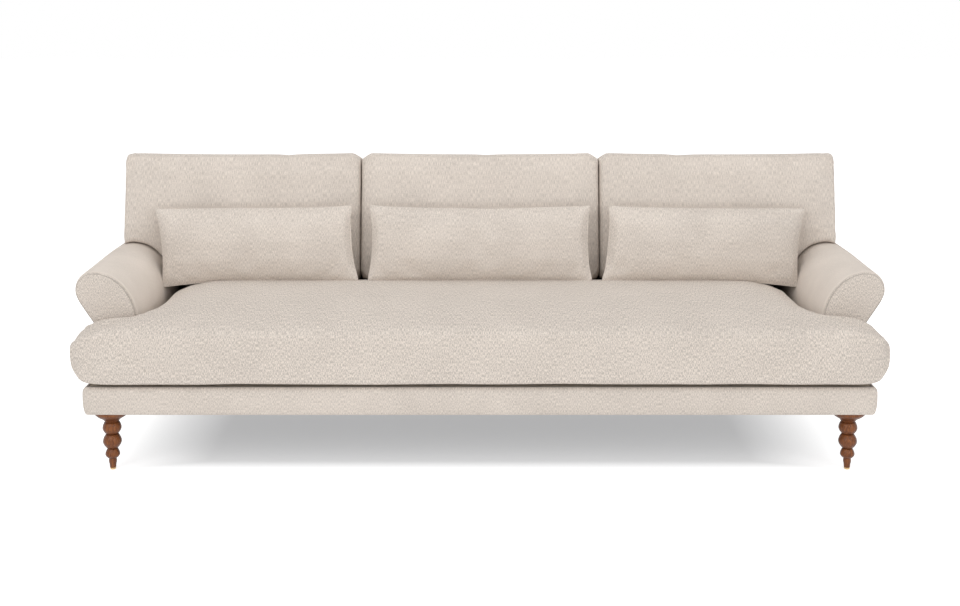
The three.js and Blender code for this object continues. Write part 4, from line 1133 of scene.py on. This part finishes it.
class SOFA_OT_back_cushions(bpy.types.Operator):
    """Makes the three back cushions"""

    bl_idname = "sofa.back_cushions"
    bl_label = "Back Cushions"

    def execute(self, context):
        cushions = context.scene.sofa_cushions
        beside = ["seat_cushion", "inside_back_pad", "outside_back_cover"]
        beside += [f"{side}_arm_cover" for side in SIDES]
        for place in PLACES:
            node = f"{place}_back_cushion"
            way = facing(node)
            seams = [border(node, way, PANEL_LIMIT), border(node, -way, PANEL_LIMIT)]
            add_cushion(
                context.scene, node, "back_linen", seams, beside, back_shape(node, cushions),
                fill=0.65, up=slide_axis(node), zip_height=0.06, reach=cushions.hug, join=NARROW,
            )
        return {"FINISHED"}


class SOFA_OT_lumbar_pillows(bpy.types.Operator):
    """Makes the three lumbar pillows"""

    bl_idname = "sofa.lumbar_pillows"
    bl_label = "Lumbar Pillows"

    def execute(self, context):
        for place in PLACES:
            node = f"{place}_lumbar_pillow"
            way = facing(node)
            seams = [border(node, way, 0)]
            beside = ["seat_cushion", f"{place}_back_cushion"]
            beside += [f"{side}_arm_cover" for side in SIDES]
            shape = None if place == "centre" else pillow_shape(node, context.scene.sofa_cushions)
            add_cushion(
                context.scene, node, "pillow_linen", seams, beside, shape,
                fill=0.6, up=Vector((0, way.z, -way.y)).normalized(), zip_height=0.07,
            )
        return {"FINISHED"}


# Upholstery

def dressed(node, material, levels=2, move=None, beside=(), plain=0):
    """A smooth copy of a CAD node, with its sharp edges rounded to a small radius.

    The plain levels come first and split its faces as they are, which holds a wide, flat form in shape.
    """
    obj = new_piece(f"{node}_dressed", copied_mesh(node, f"{node}_dressed"), material)
    modified(obj, "BEVEL", width=EDGE_RADIUS, segments=2, limit_method="ANGLE", angle_limit=EDGE_ANGLE)
    if plain:
        modified(obj, "SUBSURF", subdivision_type="SIMPLE", levels=plain, render_levels=plain)
    subdivided(obj, levels)
    if move:
        reshape(obj, move)
        keep_off(obj, shown_tree(beside), EDGE_RADIUS / 2)
    obj.data.shade_smooth()
    paint(obj, material)
    stand_for(obj, node)
    return obj


def roll_shape(cushions):
    """Widens the outer half of an arm's roll towards the back."""
    low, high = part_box("right_arm_cover")
    spring = (low.x + high.x) / 2
    foot = low.z + (high.z - low.z) * ROLL_FOOT

    def move(point):
        back = eased(point.y, low.y, low.y + ROLL_RUN)
        out = eased(abs(point.x), spring, high.x) * eased(point.z, foot, foot + ROLL_RISE)
        return point + ACROSS * math.copysign(cushions.roll * back * out, point.x)

    return move


def paint_slot_shade(band, slot_shade_cloth):
    """Paints the top of the band, under the seat cushion, with the black dust cloth, as painted shade in the slot
    below the seat's front edge.
    """
    band.data.materials.append(slot_shade_cloth)
    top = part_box("base_band")[1].z
    for face in band.data.polygons:
        if face.normal.z > LEVEL and face.center.z > top - EDGE_RADIUS:
            face.material_index = 1


class SOFA_OT_upholstery(bpy.types.Operator):
    """Dresses the base band, the arms and the back"""

    bl_idname = "sofa.upholstery"
    bl_label = "Upholstery"

    def execute(self, context):
        cushions = context.scene.sofa_cushions
        # The arm covers get the paler linen as painted light, and the welts the darker linen as painted shade
        names = ("upholstery_linen", "arm_linen", "seam_linen", "panel_linen")
        woven, smooth, sewn, flecked = (linen(context.scene, name) for name in names)
        band = dressed("base_band", woven)
        # Painted shade: the slot under the seat's front edge is darkened with black cloth
        paint_slot_shade(band, dust_cloth(context.scene))
        dressed("outside_back_cover", woven)
        dressed("inside_back_pad", woven, levels=1, plain=3)
        for side in SIDES:
            node = f"{side}_arm_front_panel"
            beside = [f"{side}_back_cushion"]
            move = roll_shape(cushions)
            dressed(f"{side}_arm_cover", smooth, levels=3, move=move, beside=beside)
            panel = dressed(node, flecked)
            path = relaxed(smooth_path(border(node, FORWARD, PANEL_LIMIT), SEAM_SPACING), times=2)
            # The welt gets the darker linen as painted shade in its seam
            attach(tube(f"{side}_arm_welt", path, cushions.welt_radius, sewn), panel)
        return {"FINISHED"}


def ring_profile(node, foot):
    """The outline of a turned CAD node, as places with a radius and a height, from end to end."""
    work = node_mesh(node)

    def reach(vertex):
        return math.hypot(vertex.co.x - foot.x, vertex.co.y - foot.y)

    ring = {min(work.verts, key=lambda vertex: (round(reach(vertex), RADIUS_DIGITS), vertex.co.z))}
    seen, profile = set(), []
    while ring:
        radius = sum(map(reach, ring)) / len(ring)
        height = sum(vertex.co.z for vertex in ring) / len(ring)
        profile.append(Vector((radius, height, 0)))
        seen |= ring
        ring = {edge.other_vert(vertex) for vertex in ring for edge in vertex.link_edges} - seen
    work.free()
    return profile


def half_bead(neck, peak):
    """Points from a neck up to just before the widest place of its bead, between a wave and a ball."""
    steps = max(BEAD_STEPS, round(abs(peak.y - neck.y) / TURNED_STEP))
    half = []
    for k in range(steps):
        along = 1 - k / steps
        ball, wave = math.sqrt(1 - along * along), (1 + math.cos(math.pi * along)) / 2
        share = wave + (ball - wave) * BEAD_FULLNESS
        place = neck.lerp(peak, 1 - along)
        place.x = neck.x + (peak.x - neck.x) * share
        half.append(place)
    return half


def turned_outline(profile):
    """The outline with ball-shaped beads, narrow necks, a thin flange and chamfered corners."""
    turns = [0.0]
    for before, place, after in zip(profile, profile[1:], profile[2:]):
        turns.append((place - before).to_2d().angle_signed((after - place).to_2d()))
    sharp = [k for k, turn in enumerate(turns) if abs(turn) > TURNED_ANGLE]
    necks = [k for k, turn in enumerate(turns) if NECK_TURN < turn < TURNED_ANGLE]
    if necks:
        collar = profile[necks[-1]].x
        rim = max(place.x for place in profile)
        for place in profile[necks[-1] + 1:]:
            if place.x > collar:
                place.x = collar + (rim - collar) * ((place.x - collar) / (rim - collar)) ** FLANGE_POWER
        for k in necks:
            profile[k].x *= NECK_SHARE
    outline = []
    stops = [0, *sorted(sharp + necks), len(profile) - 1]
    for first, last in zip(stops, stops[1:]):
        if first in necks and last in necks:
            peak = max(profile[first:last], key=lambda place: place.x)
            outline += half_bead(profile[first], peak)
            outline += [peak, *reversed(half_bead(profile[last], peak)[1:])]
            continue
        run = [point.copy() for point in profile[first:last + 1]]
        if first in sharp:
            run[0] += (run[1] - run[0]).normalized() * TURNED_EDGE
        if last in sharp:
            run[-1] += (run[-2] - run[-1]).normalized() * TURNED_EDGE
        outline += smooth_path(run, TURNED_STEP, closed=False)
        if last not in necks:
            outline.append(run[-1])
    return outline


def turned_dress(node, foot, material):
    """A round piece turned from the CAD node's outline."""
    work = bmesh.new()
    before = None
    for place in turned_outline(ring_profile(node, foot)):
        centre = Vector((foot.x, foot.y, place.y))
        spokes = [Vector((cos, sin, 0)) * place.x for cos, sin in circle(TURNED_SIDES)]
        if place.x <= TURNED_EDGE:
            spokes = [Vector()]
        ring = [work.verts.new(centre + spoke) for spoke in spokes]
        sides = max(len(before or ring), len(ring))
        for k in range(sides if before and sides > 1 else 0):
            corners = [before[k % len(before)], before[(k + 1) % len(before)]]
            corners += [ring[(k + 1) % len(ring)], ring[k % len(ring)]]
            work.faces.new(list(dict.fromkeys(corners)))
        before = ring
    obj = built(f"{node}_dressed", work, material)
    obj.data.set_sharp_from_angle(angle=EDGE_ANGLE / 2)
    stand_for(obj, node)


class SOFA_OT_legs(bpy.types.Operator):
    """Makes the turned legs and their brass ferrules"""

    bl_idname = "sofa.legs"
    bl_label = "Legs"

    def execute(self, context):
        wood = context.scene.sofa_wood
        walnut = wood_material(
            "walnut", wood.walnut, wood.walnut_dark, ring=0.0045, run=0.09, rough=0.34, coat=0.1
        )
        brass = metal_material("brass", wood.brass, rough=0.2)
        feet = {mount["name"]: Vector(mount["pos_m"]) for mount in frame["record"]["mounts"]}
        for corner in CORNERS:
            foot = feet[f"{corner}_foot"]
            turned_dress(f"{corner}_leg", foot, walnut)
            turned_dress(f"{corner}_ferrule", foot, brass)
        return {"FINISHED"}


def dust_sheet(cloth, material):
    """The thin cloth under the frame, which sags a little between its staples, and its flat area."""
    low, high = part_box("dust_cover")
    work = node_mesh("dust_cover")
    flat = [face for face in work.faces if face.normal.z < -LEVEL]
    area = sum(face.calc_area() for face in flat)
    bmesh.ops.delete(work, geom=[face for face in work.faces if face not in flat], context="FACES")
    for axis in (0, 1):
        for k in range(1, round((high[axis] - low[axis]) / cloth.sheet_step)):
            place = Vector((0, 0, low.z))
            place[axis] = low[axis] + k * cloth.sheet_step
            whole = [*work.verts, *work.edges, *work.faces]
            bmesh.ops.bisect_plane(work, geom=whole, plane_co=place, plane_no=(1 - axis, axis, 0))
    bmesh.ops.triangulate(work, faces=work.faces)
    for vertex in work.verts:
        x, y, _ = vertex.co
        inward = min(x - low.x, high.x - x, y - low.y, high.y - y)
        wave = SHEET_MEAN + (1 - SHEET_MEAN) * noise.noise(vertex.co / SHEET_WAVE)
        vertex.co.z -= cloth.sheet_sag * wave * eased(inward, *SHEET_FADE)
    sheet = built("dust_cover_dressed", work, material)
    modified(sheet, "SOLIDIFY", thickness=-(high.z - low.z) * SHEET_THICKNESS)
    return sheet, area


def staples(sheet, spacing, material):
    """A row of staples round the edge of the cloth under the frame."""
    low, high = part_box("dust_cover")
    rim = ((low.x, low.y), (high.x, low.y), (high.x, high.y), (low.x, high.y))
    corners = [Vector((x, y, low.z)) for x, y in rim]
    feet = [Vector(mount["pos_m"]) for mount in frame["record"]["mounts"]]
    work = bmesh.new()
    for a, b in zip(corners, corners[1:] + corners[:1]):
        along = (b - a).normalized()
        inward = Vector((-along.y, along.x, 0)) * STAPLE_INSET
        for k in range(1, round((b - a).length / spacing)):
            middle = a + along * k * spacing + inward
            if min((middle - foot).to_2d().length for foot in feet) < STAPLE_CLEAR:
                continue
            ways = ((-1, STAPLE_DEPTH), (-1, -STAPLE_PROUD), (1, -STAPLE_PROUD), (1, STAPLE_DEPTH))
            wire = [middle + along * (STAPLE_HALF * way) + UP * height for way, height in ways]
            add_tube(work, wire, STAPLE_WIRE, closed=False)
    attach(built("dust_cover_staples", work, material), sheet)


class SOFA_OT_hidden_frame(bpy.types.Operator):
    """Gives the hidden frame, its webbing and its fixings their finishes"""

    bl_idname = "sofa.hidden_frame"
    bl_label = "Hidden Frame"

    def execute(self, context):
        wood = context.scene.sofa_wood
        cloth = context.scene.sofa_cloth
        steel = metal_material("zinc_steel", wood.zinc, rough=0.32)
        finishes = {
            "hardwood_frame": wood_material(
                "hardwood", wood.hardwood, wood.hardwood_dark, ring=0.03, run=0.4, rough=0.6
            ),
            "steel_fixings": steel,
            "jute_webbing": cloth_material("jute", cloth, *JUTE),
        }
        for part in frame["record"]["subparts"]:
            if part["material_slot"] in finishes:
                paint(frame["nodes"][part["node"]], finishes[part["material_slot"]])
        deck = cloth_material("platform_cloth", cloth, *PLATFORM_CLOTH)
        dressed("seat_deck", deck)
        sheet, area = dust_sheet(cloth, dust_cloth(context.scene))
        staples(sheet, cloth.staple, steel)
        stand_for(sheet, "dust_cover")
        return {"FINISHED"}


# Studio

def area_lamp(name, place, size, power):
    data = bpy.data.lights.new(name, "AREA")
    data.size = size
    data.energy = power
    lamp = bpy.data.objects.new(name, data)
    lamp.location = place
    lamp.rotation_euler = (LAMP_TARGET - Vector(place)).to_track_quat("-Z", "Y").to_euler()
    bpy.context.scene.collection.objects.link(lamp)


def seen_rays(graph):
    """1 for rays that the camera sees, also those that metal reflects or glass lets through."""
    rays = graph.node("ShaderNodeLightPath").outputs
    seen = graph.maths("MAXIMUM", rays["Is Camera Ray"], rays["Is Glossy Ray"])
    return graph.maths("MAXIMUM", seen, rays["Is Transmission Ray"])


def floor_material(stage):
    """A pale floor that glows white, but less under the sofa, where the lower glow is a painted shadow added to
    the lamps' shadow.
    """
    material, graph, shader, where = new_material("studio_floor")
    cloudy = graph.noise(where["Object"], scale=0.6, detail=1.0)
    pale = [min(1.0, part * CLOUD_GAIN) for part in stage.floor]
    x, y, _ = (graph.maths("ABSOLUTE", part) for part in graph.split(where["Object"]))
    # Painted shadow: the glow that the camera sees drops in a rectangle under the sofa
    outside_painted_shadow = graph.maths("MAXIMUM", graph.stretch(x, *SHADE_LENGTH), graph.stretch(y, *SHADE_DEPTH))
    glow = graph.maths("MULTIPLY", outside_painted_shadow, seen_rays(graph))
    graph.feed_all({
        "Base Color": graph.mix_colour(cloudy, opaque(stage.floor), opaque(pale)),
        "Emission Strength": graph.mix_value(glow, stage.near_glow, stage.far_glow),
        "Emission Color": (1, 1, 1, 1),
        "Roughness": 1.0,
        "Specular IOR Level": 0.0,
    }, shader)
    return material


def white_sky(stage):
    """Even light from all round, seen by the camera as plain white."""
    world = bpy.context.scene.world or bpy.data.worlds.new("Studio")
    bpy.context.scene.world = world
    world.use_nodes = True
    graph = Graph(world.node_tree)
    strength = graph.mix_value(seen_rays(graph), stage.sky, 1.0)
    graph.feed_all({"Color": (1, 1, 1, 1), "Strength": strength}, world.node_tree.nodes["Background"])


class SOFA_OT_stage(bpy.types.Operator):
    """Sets up the floor, the lamps and the camera"""

    bl_idname = "sofa.stage"
    bl_label = "Studio"

    def execute(self, context):
        stage = context.scene.sofa_stage
        work = bmesh.new()
        bmesh.ops.create_grid(work, x_segments=2, y_segments=2, size=FLOOR_HALF)
        mesh = bpy.data.meshes.new("floor")
        work.to_mesh(mesh)
        work.free()
        new_piece("floor", mesh, floor_material(stage), smooth=False)
        white_sky(stage)
        for name, (place, size) in LAMPS.items():
            area_lamp(name, place, size, getattr(stage, name))
        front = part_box("seat_cushion")[0].y
        data = bpy.data.cameras.new("camera")
        data.lens = stage.lens
        data.shift_y = stage.shift
        camera = bpy.data.objects.new("camera", data)
        camera.location = (0, front - stage.distance, stage.height)
        camera.rotation_euler = (math.pi / 2 - stage.pitch, 0, 0)
        context.scene.collection.objects.link(camera)
        context.scene.camera = camera
        context.scene.view_settings.view_transform = "Standard"
        return {"FINISHED"}


class SOFA_PT_panel(bpy.types.Panel):
    """Lists the steps that dress the sofa"""

    bl_idname = "SOFA_PT_panel"
    bl_label = "Sofa"
    bl_space_type = "VIEW_3D"
    bl_region_type = "UI"
    bl_category = "Sofa"

    def draw(self, context):
        for step in STEPS:
            self.layout.operator(step.bl_idname)


STEPS = (
    SOFA_OT_stage,
    SOFA_OT_hidden_frame,
    SOFA_OT_legs,
    SOFA_OT_upholstery,
    SOFA_OT_seat_cushion,
    SOFA_OT_back_cushions,
    SOFA_OT_lumbar_pillows,
)
GROUPS = {
    "sofa_cloth": SofaCloth,
    "sofa_cushions": SofaCushions,
    "sofa_wood": SofaWood,
    "sofa_stage": SofaStage,
}
KINDS = (*GROUPS.values(), *STEPS, SOFA_PT_panel)


def register():
    for kind in KINDS:
        bpy.utils.register_class(kind)
    for name, kind in GROUPS.items():
        setattr(bpy.types.Scene, name, PointerProperty(type=kind))


def unregister():
    for name in GROUPS:
        delattr(bpy.types.Scene, name)
    for kind in reversed(KINDS):
        bpy.utils.unregister_class(kind)


def main():
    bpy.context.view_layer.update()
    register()
    for step in STEPS:
        group, name = step.bl_idname.split(".")
        getattr(getattr(bpy.ops, group), name)()


if __name__ == "__main__":
    main()
